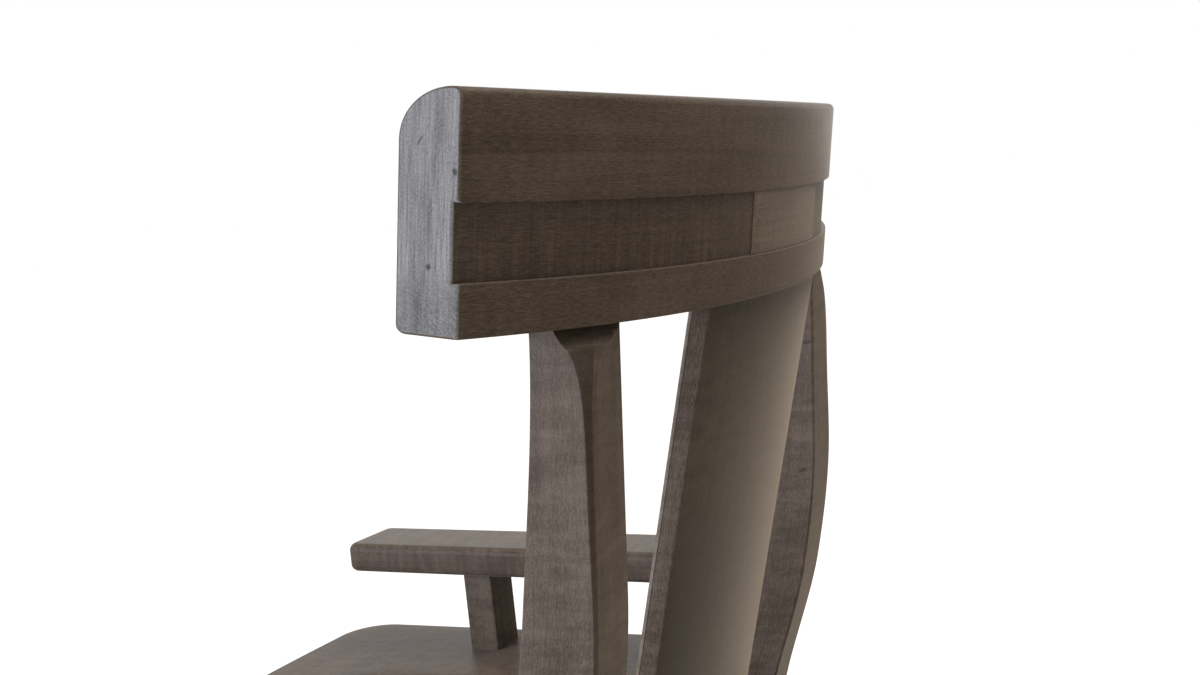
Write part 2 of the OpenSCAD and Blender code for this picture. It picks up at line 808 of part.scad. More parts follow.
module corner_blocks() {
    color(wood_light) for (side = [1, -1]) at_side(side) for (c = corner_faces) difference() {
        corner_triangle(c[0], c[1]);
        corner_screw_pair(c[0], c[1], fit);
        corner_screw_ways(c[0], c[1]);
        seat_screw_at(c[0], c[1], fit);
        post_blank(fit);
        translate([leg_x, leg_y, 0]) leg_taper();
    }
}

module corner_block_screws() {
    color(steel) for (side = [1, -1]) at_side(side) corner_screw_pairs();
}

module seat_screws() {
    color(steel) for (side = [1, -1]) at_side(side) seat_screw_pair();
}

module support_screws() {
    color(steel) for (side = [1, -1]) at_side(side) support_screw();
}

module arm_dowels() {
    color(wood_light) for (side = [1, -1]) at_side(side) arm_dowel_pair();
}

// Floor glides

module glide(grow = 0) {
    cylinder(d = glide_d, h = glide_t);
    cylinder(d = glide_pin_d + 2 * grow, h = glide_t + glide_pin_len + (grow > 0 ? end_gap : 0));
}

module front_glide(grow = 0) {
    inset = (leg_w - leg_foot_w) / 2;
    translate([leg_x + inset, leg_y - inset, 0]) glide(grow);
}

module rear_glide(grow = 0) {
    translate([post_x, post_mid(glide_t), 0]) glide(grow);
}

module floor_glides() {
    color(nylon) for (side = [1, -1]) at_side(side) {
        front_glide();
        rear_glide();
    }
}

module placed() {
    translate([0, shift_y, 0]) children();
}

placed() crest_rail();
placed() groove_block(1);  // groove_block_left
placed() groove_block(-1);  // groove_block_right
placed() back_post(1);  // back_post_left
placed() back_post(-1);  // back_post_right
placed() back_splat();
placed() seat();
placed() arm(1);  // arm_left
placed() arm(-1);  // arm_right
placed() arm_support(1);  // arm_support_left
placed() arm_support(-1);  // arm_support_right
placed() front_leg(1);  // front_leg_left
placed() front_leg(-1);  // front_leg_right
placed() front_apron();
placed() rear_apron();
placed() side_apron(1);  // side_apron_left
placed() side_apron(-1);  // side_apron_right
placed() side_stretcher(1);  // side_stretcher_left
placed() side_stretcher(-1);  // side_stretcher_right
placed() cross_stretcher();
placed() corner_blocks();
placed() corner_block_screws();
placed() seat_screws();
placed() support_screws();
placed() crest_dowels();
placed() arm_dowels();
placed() floor_glides();
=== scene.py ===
"""A dining armchair in dark stained maple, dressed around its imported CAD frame."""

import json
import logging
import math
from dataclasses import dataclass, field
from enum import Enum
from typing import Callable, Sequence

import bmesh
import bpy
from mathutils import Matrix, Vector

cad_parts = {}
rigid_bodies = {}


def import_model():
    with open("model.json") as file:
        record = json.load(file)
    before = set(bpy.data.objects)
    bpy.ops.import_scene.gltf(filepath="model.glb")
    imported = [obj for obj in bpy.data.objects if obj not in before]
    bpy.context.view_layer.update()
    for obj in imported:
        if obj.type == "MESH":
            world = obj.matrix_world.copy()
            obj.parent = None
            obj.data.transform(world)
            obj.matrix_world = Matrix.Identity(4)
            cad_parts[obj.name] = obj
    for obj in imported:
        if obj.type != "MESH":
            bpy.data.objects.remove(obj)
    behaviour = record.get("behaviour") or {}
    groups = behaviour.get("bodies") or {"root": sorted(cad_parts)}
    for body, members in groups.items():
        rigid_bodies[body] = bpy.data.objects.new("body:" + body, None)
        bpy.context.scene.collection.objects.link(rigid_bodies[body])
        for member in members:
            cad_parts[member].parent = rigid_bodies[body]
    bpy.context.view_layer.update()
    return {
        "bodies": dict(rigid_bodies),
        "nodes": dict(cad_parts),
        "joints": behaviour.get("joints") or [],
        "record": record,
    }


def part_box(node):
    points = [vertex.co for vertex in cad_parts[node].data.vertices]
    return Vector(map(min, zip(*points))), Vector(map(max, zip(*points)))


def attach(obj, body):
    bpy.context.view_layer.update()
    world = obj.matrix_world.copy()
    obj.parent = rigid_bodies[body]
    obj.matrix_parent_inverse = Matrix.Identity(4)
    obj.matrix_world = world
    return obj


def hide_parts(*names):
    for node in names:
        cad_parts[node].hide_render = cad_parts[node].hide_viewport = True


log = logging.getLogger("armchair")

MM = 0.001
BODY = "root"
GRAIN = "grain"
ARRIS_STEPS = 4
SHARP_ANGLE = math.radians(38)
DENT_FLOOR = 0.35
SMOOTH_WEIGHT = 90
# The least cosine that a corner's reach is divided by when its outline is drawn in
LEAST_COSINE = 0.4

Flat = tuple[float, float]
Triple = tuple[float, float, float]
Colour = tuple[float, float, float, float]
Ring = list[Vector]
GrainAt = Callable[[Vector], Vector]
Material = bpy.types.Material
Tree = bpy.types.NodeTree
Node = bpy.types.Node
Socket = bpy.types.NodeSocket
Links = dict[str | int, Socket] | None
Values = dict[str | int, object] | None
Stops = Sequence[tuple[float, str]]


class Side(Enum):
    """The sitter's two sides, by the sign of X."""
    LEFT = 1
    RIGHT = -1

    @property
    def word(self) -> str:
        """The side's name as the CAD nodes spell it."""
        return self.name.lower()


class GrainStart(Enum):
    """Where each board starts in the grain, in millimetres, so that no two boards look alike."""
    BLOCK = 900
    POST = 2000
    SEAT = 3000
    SPLAT = 5000
    ARM = 7000
    SUPPORT = 9000
    LEG = 11000
    SIDE_BAR = 13000


# Shapes shared by the pieces. All of them are in millimetres until a mesh is made.

def smooth_step(low: float, high: float, value: float) -> float:
    """Rise from 0 at low to 1 at high with soft ends."""
    t = min(max((value - low) / (high - low), 0.0), 1.0)
    return t * t * (3 - 2 * t)


def hermite_at(stations: Sequence[Triple], height: float) -> float:
    """Follow a curve that passes through stations with given slopes.

    Args:
        stations: Rows of height, value and slope, from the lowest up.
        height: The height asked for.

    Returns:
        The curve's value there.
    """
    index = 0
    while index < len(stations) - 2 and height > stations[index + 1][0]:
        index += 1
    (low, a, slope_a), (high, b, slope_b) = stations[index], stations[index + 1]
    span = high - low
    t = (height - low) / span
    return ((2 * t ** 3 - 3 * t ** 2 + 1) * a + (t ** 3 - 2 * t ** 2 + t) * slope_a * span
            + (3 * t ** 2 - 2 * t ** 3) * b + (t ** 3 - t ** 2) * slope_b * span)


def corner_arc(centre: Flat, radius: float, start: float, end: float,
               steps: int = ARRIS_STEPS) -> list[Flat]:
    """Points on an arc from one angle to another in degrees, both ends included."""
    turns = [math.radians(start + (end - start) * i / steps) for i in range(steps + 1)]
    return [(centre[0] + radius * math.cos(t), centre[1] + radius * math.sin(t)) for t in turns]


def eased_rectangle(low: Flat, high: Flat, radii: Sequence[float], inset: float = 0.0) -> list[Flat]:
    """A rectangle with its four corners rounded, counterclockwise.

    Args:
        low: The lowest corner.
        high: The highest corner.
        radii: Corner radii from low-left, counterclockwise.
        inset: How far every side is drawn in.

    Returns:
        The outline's points.
    """
    x0, y0, x1, y1 = low[0] + inset, low[1] + inset, high[0] - inset, high[1] - inset
    r = [max(radius - inset, radius / 4) for radius in radii]
    return (corner_arc((x0 + r[0], y0 + r[0]), r[0], 180, 270)
            + corner_arc((x1 - r[1], y0 + r[1]), r[1], 270, 360)
            + corner_arc((x1 - r[2], y1 - r[2]), r[2], 0, 90)
            + corner_arc((x0 + r[3], y1 - r[3]), r[3], 90, 180))


def drawn_in(outline: Sequence[Flat], inset: float) -> list[Flat]:
    """An outline with every side moved inwards.

    Args:
        outline: A counterclockwise outline.
        inset: How far each side moves.

    Returns:
        The same number of points, moved along their corners' bisectors.
    """
    moved = []
    count = len(outline)
    for i, here in enumerate(outline):
        before = Vector(here) - Vector(outline[i - 1])
        after = Vector(outline[(i + 1) % count]) - Vector(here)
        normals = [Vector((-edge.y, edge.x)).normalized() for edge in (before, after)]
        bisector = (normals[0] + normals[1]).normalized()
        reach = inset / max(bisector.dot(normals[0]), LEAST_COSINE)
        moved.append((here[0] + bisector.x * reach, here[1] + bisector.y * reach))
    return moved


def eased_ends(radius: float, steps: int = ARRIS_STEPS) -> list[Flat]:
    """How a rounded arris closes an end: distances from the end with insets, from the end inwards."""
    turns = [math.pi / 2 * (1 - i / steps) for i in range(steps + 1)]
    return [(radius * (1 - math.sin(t)), radius * (1 - math.cos(t))) for t in turns]


def swept(outline: Sequence[Flat], steps: int, place: Callable[[float, float, float], Vector]) -> list[Ring]:
    """Carry an outline along a piece: place turns a point and a share of the way into a point."""
    return [[place(a, b, k / steps) for a, b in outline] for k in range(steps + 1)]


def grain_from(axes: str, along: float, across: float = 0.0) -> GrainAt:
    """Grain along the first of three axes and across the second, from places of its own."""
    start = Vector((along, across, 0.0))
    return lambda point: getattr(point, axes) + start


# Finishes

def linear(hex_colour: str) -> Colour:
    """Turn an sRGB hex colour into the linear values that shaders take.

    Args:
        hex_colour: Six hex digits.

    Returns:
        Linear red, green, blue and an alpha of 1.
    """
    parts = [int(hex_colour[i:i + 2], 16) / 255 for i in (0, 2, 4)]
    red, green, blue = (p / 12.92 if p <= 0.04045 else ((p + 0.055) / 1.055) ** 2.4 for p in parts)
    return red, green, blue, 1.0


def set_inputs(tree: Tree, node: Node, links: Links, values: Values) -> None:
    """Give a node's inputs their plain values and their links.

    Args:
        tree: The node tree.
        node: The node.
        links: Sockets of other nodes, by the input they feed.
        values: Plain values, by input.
    """
    for key, value in (values or {}).items():
        node.inputs[key].default_value = value
    for key, socket in (links or {}).items():
        tree.links.new(socket, node.inputs[key])


def add_node(tree: Tree, kind: str, links: Links = None, values: Values = None, stops: Stops = (),
             **settings: object) -> Node:
    """Add a shader node with its settings, values and links.

    Args:
        tree: The node tree.
        kind: The node's type name without its ShaderNode prefix.
        links: Sockets of other nodes, by the input they feed.
        values: Plain values, by input.
        stops: Where a colour ramp's stops lie, from 0 to 1, each with its sRGB hex colour.
        **settings: The node's own properties.

    Returns:
        The new node.
    """
    node = tree.nodes.new("ShaderNode" + kind)
    for name, value in settings.items():
        setattr(node, name, value)
    if stops:
        elements = node.color_ramp.elements
        while len(elements) < len(stops):
            elements.new(0.5)
        for element, (place, colour) in zip(elements, stops):
            element.position = place
            element.color = linear(colour)
    set_inputs(tree, node, links, values)
    return node


def new_material(name: str) -> tuple[Material, Tree, Node]:
    """Start a material.

    Args:
        name: Its name.

    Returns:
        The material, its node tree and its shader.
    """
    material = bpy.data.materials.new(name)
    material.use_nodes = True
    tree = material.node_tree
    return material, tree, tree.nodes["Principled BSDF"]


@dataclass(frozen=True)
class Dent:
    """A knock in a piece: where it is and its half sizes, in millimetres, its tilt and how strong it is."""
    centre: Triple
    half: Triple
    tilt: float = 0.0
    strength: float = 1.0


def dent_mask(tree: Tree, dents: Sequence[Dent]) -> Socket:
    """One mask for all the dents, from their places on the chair.

    Args:
        tree: The node tree.
        dents: The dents.

    Returns:
        A value that is each dent's strength inside it and 0 away from it.
    """
    place = add_node(tree, "TexCoord").outputs["Object"]
    total: Socket | None = None
    for dent in dents:
        turned = add_node(tree, "Mapping", {"Vector": place},
                          {"Location": tuple(c * MM for c in dent.centre),
                           "Rotation": (math.radians(dent.tilt), 0.0, 0.0),
                           "Scale": tuple(h * MM for h in dent.half)}, vector_type="TEXTURE")
        reach = add_node(tree, "VectorMath", {0: turned.outputs[0]}, operation="LENGTH").outputs["Value"]
        fade = {"From Min": DENT_FLOOR, "From Max": 1.0, "To Min": dent.strength, "To Max": 0.0}
        mask = add_node(tree, "MapRange", {"Value": reach}, fade,
                        interpolation_type="SMOOTHSTEP").outputs[0]
        total = mask if total is None else add_node(tree, "Math", {0: total, 1: mask},
                                                    operation="MAXIMUM").outputs[0]
    return total


def stretched_noise(tree: Tree, place: Socket, size: Triple, detail: float = 2.0, warp: float = 0.0,
                    roughness: float = 0.6) -> Socket:
    """Noise with its own size along, across and through the board.

    Args:
        tree: The node tree.
        place: Coordinates in metres.
        size: The pattern's three sizes in millimetres.
        detail: Octaves of finer noise.
        warp: How far the pattern is bent out of line.
        roughness: How strong the finer octaves are.

    Returns:
        The noise value.
    """
    scale = tuple(1 / (s * MM) for s in size)
    scaled = add_node(tree, "VectorMath", {0: place}, {1: scale}, operation="MULTIPLY")
    values = {"Scale": 1.0, "Detail": detail, "Roughness": roughness, "Distortion": warp}
    return add_node(tree, "TexNoise", {"Vector": scaled.outputs[0]}, values).outputs["Fac"]


def weighed_sum(tree: Tree, *parts: tuple[Socket, float]) -> Socket:
    """Add values, each with its weight.

    Args:
        tree: The node tree.
        *parts: The values with their weights.

    Returns:
        The sum.
    """
    (first, first_weight), *others = parts
    total = add_node(tree, "Math", {0: first}, {1: first_weight}, operation="MULTIPLY").outputs[0]
    for value, weight in others:
        links = {0: value, 2: total}
        total = add_node(tree, "Math", links, {1: weight}, operation="MULTIPLY_ADD").outputs[0]
    return total


@dataclass(frozen=True)
class StainedMaple:
    """Brown maple, planed, wiped with a dark grey-brown stain and sprayed with satin lacquer.

    The eye gets fine straight grain in low contrast, faint ripples across it where the fibres curl,
    cloudy patches where the stain took unevenly, and a low sheen that grows at a glancing angle.
    """
    name: str
    dark: str = "4e443b"
    middle: str = "60554b"
    light: str = "72665b"
    # Growth rings run 4 to 12 mm wide on a plain-sawn board, and wander over hundreds of millimetres
    rings: Triple = (360.0, 8.0, 8.0)
    ring_share: float = 0.18
    # Vessel lines are 0.1 mm wide and 4 mm long: drawn 0.8 mm wide so that they show
    flecks: Triple = (6.0, 0.8, 0.8)
    # Stain gathers in pores as specks, drawn 0.9 mm across
    specks: Triple = (1.3, 0.9, 0.9)
    speck_share: float = 0.22
    # Curled fibres make bands some 34 mm wide and 8 mm apart along the grain, at the flecks' cost
    curl: Triple = (8.0, 34.0, 34.0)
    curl_share: float = 0.18
    fleck_and_curl: float = 0.42
    # The stain takes unevenly in clouds about as wide as a palm
    cloud: Triple = (120.0, 55.0, 55.0)
    cloud_share: float = 0.18
    # A cutter that chatters leaves ripples this far apart and this long, or none
    chatter: float = 0.0
    chatter_width: float = 60.0
    # How much of the tone and of the relief the ripples make
    chatter_share: float = 0.12
    chatter_relief: float = 0.25
    # How much of the relief the flecks, the specks and the curl make, and where the three tones lie
    relief_shares: Triple = (0.4, 0.3, 0.3)
    stops: Triple = (0.42, 0.50, 0.59)
    relief_strength: float = 0.35
    relief_depth: float = 0.5
    # Lacquer shines unevenly with the clouds, from this much smoother to this much rougher
    roughness: float = 0.32
    smoother: float = 0.06
    rougher: float = 0.08
    specular: float = 0.09
    # Lacquer mist and fine scratches scatter light at a glancing angle
    sheen: float = 0.38
    sheen_roughness: float = 0.28
    sheen_tint: str = "f0e6da"
    dents: tuple[Dent, ...] = ()
    # Painted shade towards a board's foot: how much light it keeps, and between which places
    painted_foot_shade: float = 1.0
    foot_span: Flat = (0.0, 1.0)

    def make(self) -> Material:
        """Build the lacquered wood from the piece's own grain coordinates.

        Returns:
            The material.
        """
        material, tree, shader = new_material(self.name)
        grain = add_node(tree, "Attribute", attribute_name=GRAIN).outputs["Vector"]
        rings = stretched_noise(tree, grain, self.rings, detail=3.0, warp=0.8)
        flecks = stretched_noise(tree, grain, self.flecks)
        specks = stretched_noise(tree, grain, self.specks, detail=1.0)
        curl = stretched_noise(tree, grain, self.curl, detail=1.0, warp=0.4)
        clouds = stretched_noise(tree, grain, self.cloud, warp=0.5)
        shade = weighed_sum(tree, (rings, self.ring_share), (flecks, self.fleck_and_curl - self.curl_share),
                            (specks, self.speck_share), (curl, self.curl_share), (clouds, self.cloud_share))
        height = weighed_sum(tree, *zip((flecks, specks, curl), self.relief_shares))
        if self.chatter:
            size = (self.chatter / 2, self.chatter_width, self.chatter_width)
            ripple = stretched_noise(tree, grain, size, detail=0.0)
            shade = weighed_sum(tree, (shade, 1 - self.chatter_share), (ripple, self.chatter_share))
            height = weighed_sum(tree, (height, 1 - self.chatter_relief), (ripple, self.chatter_relief))
        tones = tuple(zip(self.stops, (self.dark, self.middle, self.light)))
        colour = add_node(tree, "ValToRGB", {0: shade}, stops=tones).outputs[0]
        # Painted shade: the colour is darkened towards the board's foot
        if self.painted_foot_shade < 1.0:
            along = add_node(tree, "SeparateXYZ", {0: grain}).outputs["X"]
            first, last = self.foot_span
            span = {"From Min": first * MM, "From Max": last * MM, "To Min": 1.0, "To Max": 0.0}
            deep = add_node(tree, "MapRange", {"Value": along}, span,
                            interpolation_type="SMOOTHSTEP").outputs[0]
            shaded = (self.painted_foot_shade,) * 3 + (1.0,)
            colour = add_node(tree, "Mix", {"Factor": deep, 6: colour}, {7: shaded}, data_type="RGBA",
                              blend_type="MULTIPLY").outputs[2]
        if self.dents:
            knocked = dent_mask(tree, self.dents)
            colour = add_node(tree, "Mix", {"Factor": knocked, 6: colour}, {7: linear(self.dark)},
                              data_type="RGBA", blend_type="MULTIPLY").outputs[2]
            height = add_node(tree, "Math", {0: height, 1: knocked}, operation="SUBTRACT").outputs[0]
        shine = {"To Min": self.roughness - self.smoother, "To Max": self.roughness + self.rougher}
        gloss = add_node(tree, "MapRange", {"Value": clouds}, shine).outputs[0]
        tilt = {"Strength": self.relief_strength, "Distance": self.relief_depth * MM}
        normal = add_node(tree, "Bump", {"Height": height}, tilt).outputs[0]
        set_inputs(tree, shader, {"Base Color": colour, "Roughness": gloss, "Normal": normal},
                   {"Specular IOR Level": self.specular, "Sheen Weight": self.sheen,
                    "Sheen Roughness": self.sheen_roughness, "Sheen Tint": linear(self.sheen_tint)})
        return material


@dataclass(frozen=True)
class SawnEnd:
    """The crest rail's end grain, sawn across and sanded lightly, with painted light on it.

    The eye gets a grey face painted paler than the rest for the light on it, with fine upright dark
    streaks where the rings are cut, and a pecked, slanting, darker texture from the saw towards its foot.
    """
    name: str
    # Open pores and saw cuts are almost black
    pore: str = "3c3b3a"
    # Tones painted paler than the stained wood, for the light that falls on the end
    dark: str = "5c5b5a"
    middle: str = "807f7d"
    light: str = "999795"
    # Cut rings stand 1 to 3 mm apart and run the height of the rail
    streak: Triple = (200.0, 26.0, 0.8)
    # Cut fibres look like salt and pepper, drawn 1 mm across
    fibre: Triple = (200.0, 1.1, 0.8)
    # Broader bands of denser wood
    band: Triple = (200.0, 120.0, 8.0)
    # Saw marks are 0.3 mm wide: drawn 0.9 mm wide, slanting by so many degrees
    saw: Triple = (200.0, 5.0, 0.9)
    saw_slant: float = 52.0
    # The saw's texture shows over the lowest third of the rail, and hardly above it
    saw_top: float = 42.0
    saw_fade: float = 26.0
    saw_shares: Flat = (0.55, 0.06)
    # What the streaks and saw marks, fibres, bands and knocks add to the tone, and how much darker the sawn
    # part is
    shares: tuple[float, ...] = (0.42, 0.34, 0.24, -0.3, -0.15)
    stops: tuple[float, ...] = (0.15, 0.36, 0.48, 0.60)
    relief_strength: float = 0.5
    relief_depth: float = 0.6
    dents: tuple[Dent, ...] = ()

    def make(self) -> Material:
        """Build the sawn end from the rail's grain coordinates.

        Returns:
            The material.
        """
        material, tree, shader = new_material(self.name)
        grain = add_node(tree, "Attribute", attribute_name=GRAIN).outputs["Vector"]
        streaks = stretched_noise(tree, grain, self.streak, warp=0.1)
        bands = stretched_noise(tree, grain, self.band, detail=1.0, warp=0.2)
        fibres = stretched_noise(tree, grain, self.fibre)
        turn = (math.radians(self.saw_slant), 0.0, 0.0)
        slanted = add_node(tree, "Mapping", {"Vector": grain}, {"Rotation": turn}).outputs[0]
        saw = stretched_noise(tree, slanted, self.saw)
        height = add_node(tree, "SeparateXYZ", {0: grain}).outputs["Y"]
        fade = {"From Min": (self.saw_top - self.saw_fade) * MM, "From Max": self.saw_top * MM,
                "To Min": self.saw_shares[0], "To Max": self.saw_shares[1]}
        low = add_node(tree, "MapRange", {"Value": height}, fade,
                       interpolation_type="SMOOTHSTEP").outputs[0]
        mixed = add_node(tree, "Mix", {"Factor": low, "A": streaks, "B": saw}).outputs[0]
        knocked = dent_mask(tree, self.dents)
        shade = weighed_sum(tree, *zip((mixed, fibres, bands, knocked, low), self.shares))
        tones = tuple(zip(self.stops, (self.pore, self.dark, self.middle, self.light)))
        colour = add_node(tree, "ValToRGB", {0: shade}, stops=tones).outputs[0]
        tilt = {"Strength": self.relief_strength, "Distance": self.relief_depth * MM}
        normal = add_node(tree, "Bump", {"Height": shade}, tilt).outputs[0]
        set_inputs(tree, shader, {"Base Color": colour, "Normal": normal},
                   {"Roughness": 0.6, "Specular IOR Level": 0.3})
        return material


@dataclass(frozen=True)
class PlainBeech:
    """Bare beech for hidden blocks and dowels: pale, dry, with short brown flecks."""
    name: str
    # Ray flecks are about 0.5 mm wide and 3 mm long: drawn nearly three times as large
    flecks: Triple = (1.43, 1.43, 8.33)
    stops: Stops = ((0.3, "9a7a55"), (0.5, "c4a379"), (0.75, "d3b58c"))
    relief_strength: float = 0.2
    relief_depth: float = 0.3

    def make(self) -> Material:
        """Build the unfinished wood from object coordinates, since it rides on CAD solids.

        Returns:
            The material.
        """
        material, tree, shader = new_material(self.name)
        place = add_node(tree, "TexCoord").outputs["Object"]
        flecks = stretched_noise(tree, place, self.flecks, detail=3.0)
        colour = add_node(tree, "ValToRGB", {0: flecks}, stops=self.stops).outputs[0]
        tilt = {"Strength": self.relief_strength, "Distance": self.relief_depth * MM}
        normal = add_node(tree, "Bump", {"Height": flecks}, tilt).outputs[0]
        set_inputs(tree, shader, {"Base Color": colour, "Normal": normal}, {"Roughness": 0.7})
        return material


@dataclass(frozen=True)
class ZincSteel:
    """Cold-headed steel screws, zinc plated: a bluish grey metal with a cloudy, slightly rough shine."""
    name: str
    # Plating spangle clouds are 1 to 2 mm across
    cloud: float = 1.54
    roughness: Flat = (0.22, 0.42)
    stops: Stops = ((0.3, "9fa4a8"), (0.7, "c6cacc"))

    def make(self) -> Material:
        """Build the plating.

        Returns:
            The material.
        """
        material, tree, shader = new_material(self.name)
        place = add_node(tree, "TexCoord").outputs["Object"]
        clouds = stretched_noise(tree, place, (self.cloud,) * 3, roughness=0.5)
        colour = add_node(tree, "ValToRGB", {0: clouds}, stops=self.stops).outputs[0]
        shine = {"To Min": self.roughness[0], "To Max": self.roughness[1]}
        gloss = add_node(tree, "MapRange", {"Value": clouds}, shine).outputs[0]
        set_inputs(tree, shader, {"Base Color": colour, "Roughness": gloss}, {"Metallic": 1.0})
        return material


@dataclass(frozen=True)
class GlideNylon:
    """Moulded nylon glides: dark grey-brown plastic, with a fine moulded texture dulled by the floor."""
    name: str
    # Spark-eroded mould texture is 0.1 mm: drawn at 0.8 mm
    pit: float = 0.8
    stops: Stops = ((0.3, "2b2826"), (0.7, "37332f"))
    relief_strength: float = 0.15
    relief_depth: float = 0.2

    def make(self) -> Material:
        """Build the moulded plastic.

        Returns:
            The material.
        """
        material, tree, shader = new_material(self.name)
        place = add_node(tree, "TexCoord").outputs["Object"]
        texture = stretched_noise(tree, place, (self.pit,) * 3, roughness=0.5)
        colour = add_node(tree, "ValToRGB", {0: texture}, stops=self.stops).outputs[0]
        tilt = {"Strength": self.relief_strength, "Distance": self.relief_depth * MM}
        normal = add_node(tree, "Bump", {"Height": texture}, tilt).outputs[0]
        set_inputs(tree, shader, {"Base Color": colour, "Normal": normal}, {"Roughness": 0.5})
        return material


@dataclass
class Finishes:
    """Every finish of the chair, made once."""
    show_wood: Material
    rail_wood: Material
    recess: Material
    # The blocks' wood, painted lighter for the light that grazes them
    block_wood_painted_light: Material
    worn: Material
    # Painted shade for the post's flute and scoop, and the splat's dark glue line
    hollow: Material
    splat_wood: Material
    # The end grain, painted paler for the light on it
    sawn_end_painted_light: Material
    plain_wood: Material
    zinc: Material
    nylon: Material


# Piece making

@dataclass(frozen=True)
class Extra:
    """Finishes for a piece's two ends and for strips of faces that run along it.

    The end's finish takes in so many bands of faces next to each cap, at the given places round the
    ring or all round. A strip is its first and last place round the ring, with its finish.
    """
    end: Material
    end_bands: int = 0
    end_places: range | None = None
    strips: tuple[tuple[int, int, Material], ...] = ()


def mesh_object(name: str, maker: bmesh.types.BMesh, *materials: Material) -> bpy.types.Object:
    """Put a surface in the scene as an object, and free its maker.

    Args:
        name: The object's name.
        maker: The surface.
        *materials: The materials that its faces name by number.

    Returns:
        The object.
    """
    mesh = bpy.data.meshes.new(name)
    maker.to_mesh(mesh)
    maker.free()
    for material in materials:
        mesh.materials.append(material)
    made = bpy.data.objects.new(name, mesh)
    bpy.context.scene.collection.objects.link(made)
    return made


def skin(rings: Sequence[Ring], side: Side | None = None, extra: Extra | None = None) -> bmesh.types.BMesh:
    """Skin closed rings of points into a closed surface, in metres.

    Args:
        rings: Closed rings with equal counts, in millimetres, ordered along the piece.
        side: Which side of the chair it's on, if the rings are the left one's.
        extra: Marks faces that take another finish.

    Returns:
        The surface.
    """
    maker = bmesh.new()
    sign = side.value if side else 1
    rows = [[maker.verts.new(Vector((p.x * sign, p.y, p.z)) * MM) for p in ring] for ring in rings]
    count = len(rows[0])
    slots = [0] * count
    for number, (first, last, _) in enumerate(extra.strips if extra else ()):
        slots[first:last + 1] = [2 + number] * (last + 1 - first)
    for band, (low, high) in enumerate(zip(rows, rows[1:])):
        at_end = extra is not None and min(band, len(rows) - 2 - band) < extra.end_bands
        for i in range(count):
            k = (i + 1) % count
            face = maker.faces.new((low[i], low[k], high[k], high[i]))
            takes_end = at_end and (extra.end_places is None or i in extra.end_places)
            face.material_index = 1 if takes_end else slots[i]
    for cap in (maker.faces.new(list(reversed(rows[0]))), maker.faces.new(rows[-1])):
        cap.material_index = 1 if extra else 0
    bmesh.ops.recalc_face_normals(maker, faces=maker.faces)
    return maker


def cut_out(piece: bpy.types.Object, cutter: bpy.types.Object) -> None:
    """Cut one object's shape, with its finish, out of another and drop it.

    Args:
        piece: The object that is cut.
        cutter: The object that is cut out.
    """
    change = piece.modifiers.new("cut", "BOOLEAN")
    change.operation = "DIFFERENCE"
    change.solver = "EXACT"
    change.material_mode = "TRANSFER"
    change.object = cutter
    graph = bpy.context.evaluated_depsgraph_get()
    old, name = piece.data, piece.data.name
    piece.data = bpy.data.meshes.new_from_object(piece.evaluated_get(graph), depsgraph=graph)
    piece.modifiers.remove(change)
    for mesh in (old, cutter.data):
        bpy.data.meshes.remove(mesh)
    piece.data.name = name


def add_piece(kind: str, rings: Sequence[Ring], grain_at: GrainAt, finish: Material,
              side: Side | None = None, extra: Extra | None = None,
              cutter: bpy.types.Object | None = None) -> None:
    """Skin rings of points into one closed wooden piece and put it on the chair, named after its node.

    Args:
        kind: The name of the CAD node that it stands for, without its side.
        rings: Closed rings with equal counts, in millimetres, ordered along the piece.
        grain_at: Gives grain coordinates for a point, along, across and through the board.
        finish: The piece's finish.
        side: Which side of the chair it's on, if the rings are the left one's.
        extra: Finishes of its ends and strips, if they differ.
        cutter: What is cut out of it.
    """
    suffix = "_" + side.word if side else ""
    others = (extra.end, *(strip[2] for strip in extra.strips)) if extra else ()
    piece = mesh_object(kind + "_wood" + suffix, skin(rings, side, extra), finish, *others)
    if cutter:
        cut_out(piece, cutter)
    dress_mesh(piece, grain_at)
    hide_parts(kind + suffix)
    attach(piece, BODY)
    log.info("%s: %d faces", piece.name, len(piece.data.polygons))


def dress_mesh(piece: bpy.types.Object, grain_at: GrainAt) -> None:
    """Write a piece's grain coordinates and smooth its faces between sharp arrises.

    Args:
        piece: A mesh object in metres.
        grain_at: Gives grain coordinates for a point in millimetres.
    """
    mesh = piece.data
    grain = mesh.attributes.new(GRAIN, "FLOAT_VECTOR", "POINT")
    for vertex in mesh.vertices:
        grain.data[vertex.index].vector = grain_at(vertex.co / MM) * MM
    mesh.shade_smooth()
    mesh.set_sharp_from_angle(angle=SHARP_ANGLE)
    even = piece.modifiers.new("even", "WEIGHTED_NORMAL")
    even.keep_sharp = True
    even.weight = SMOOTH_WEIGHT


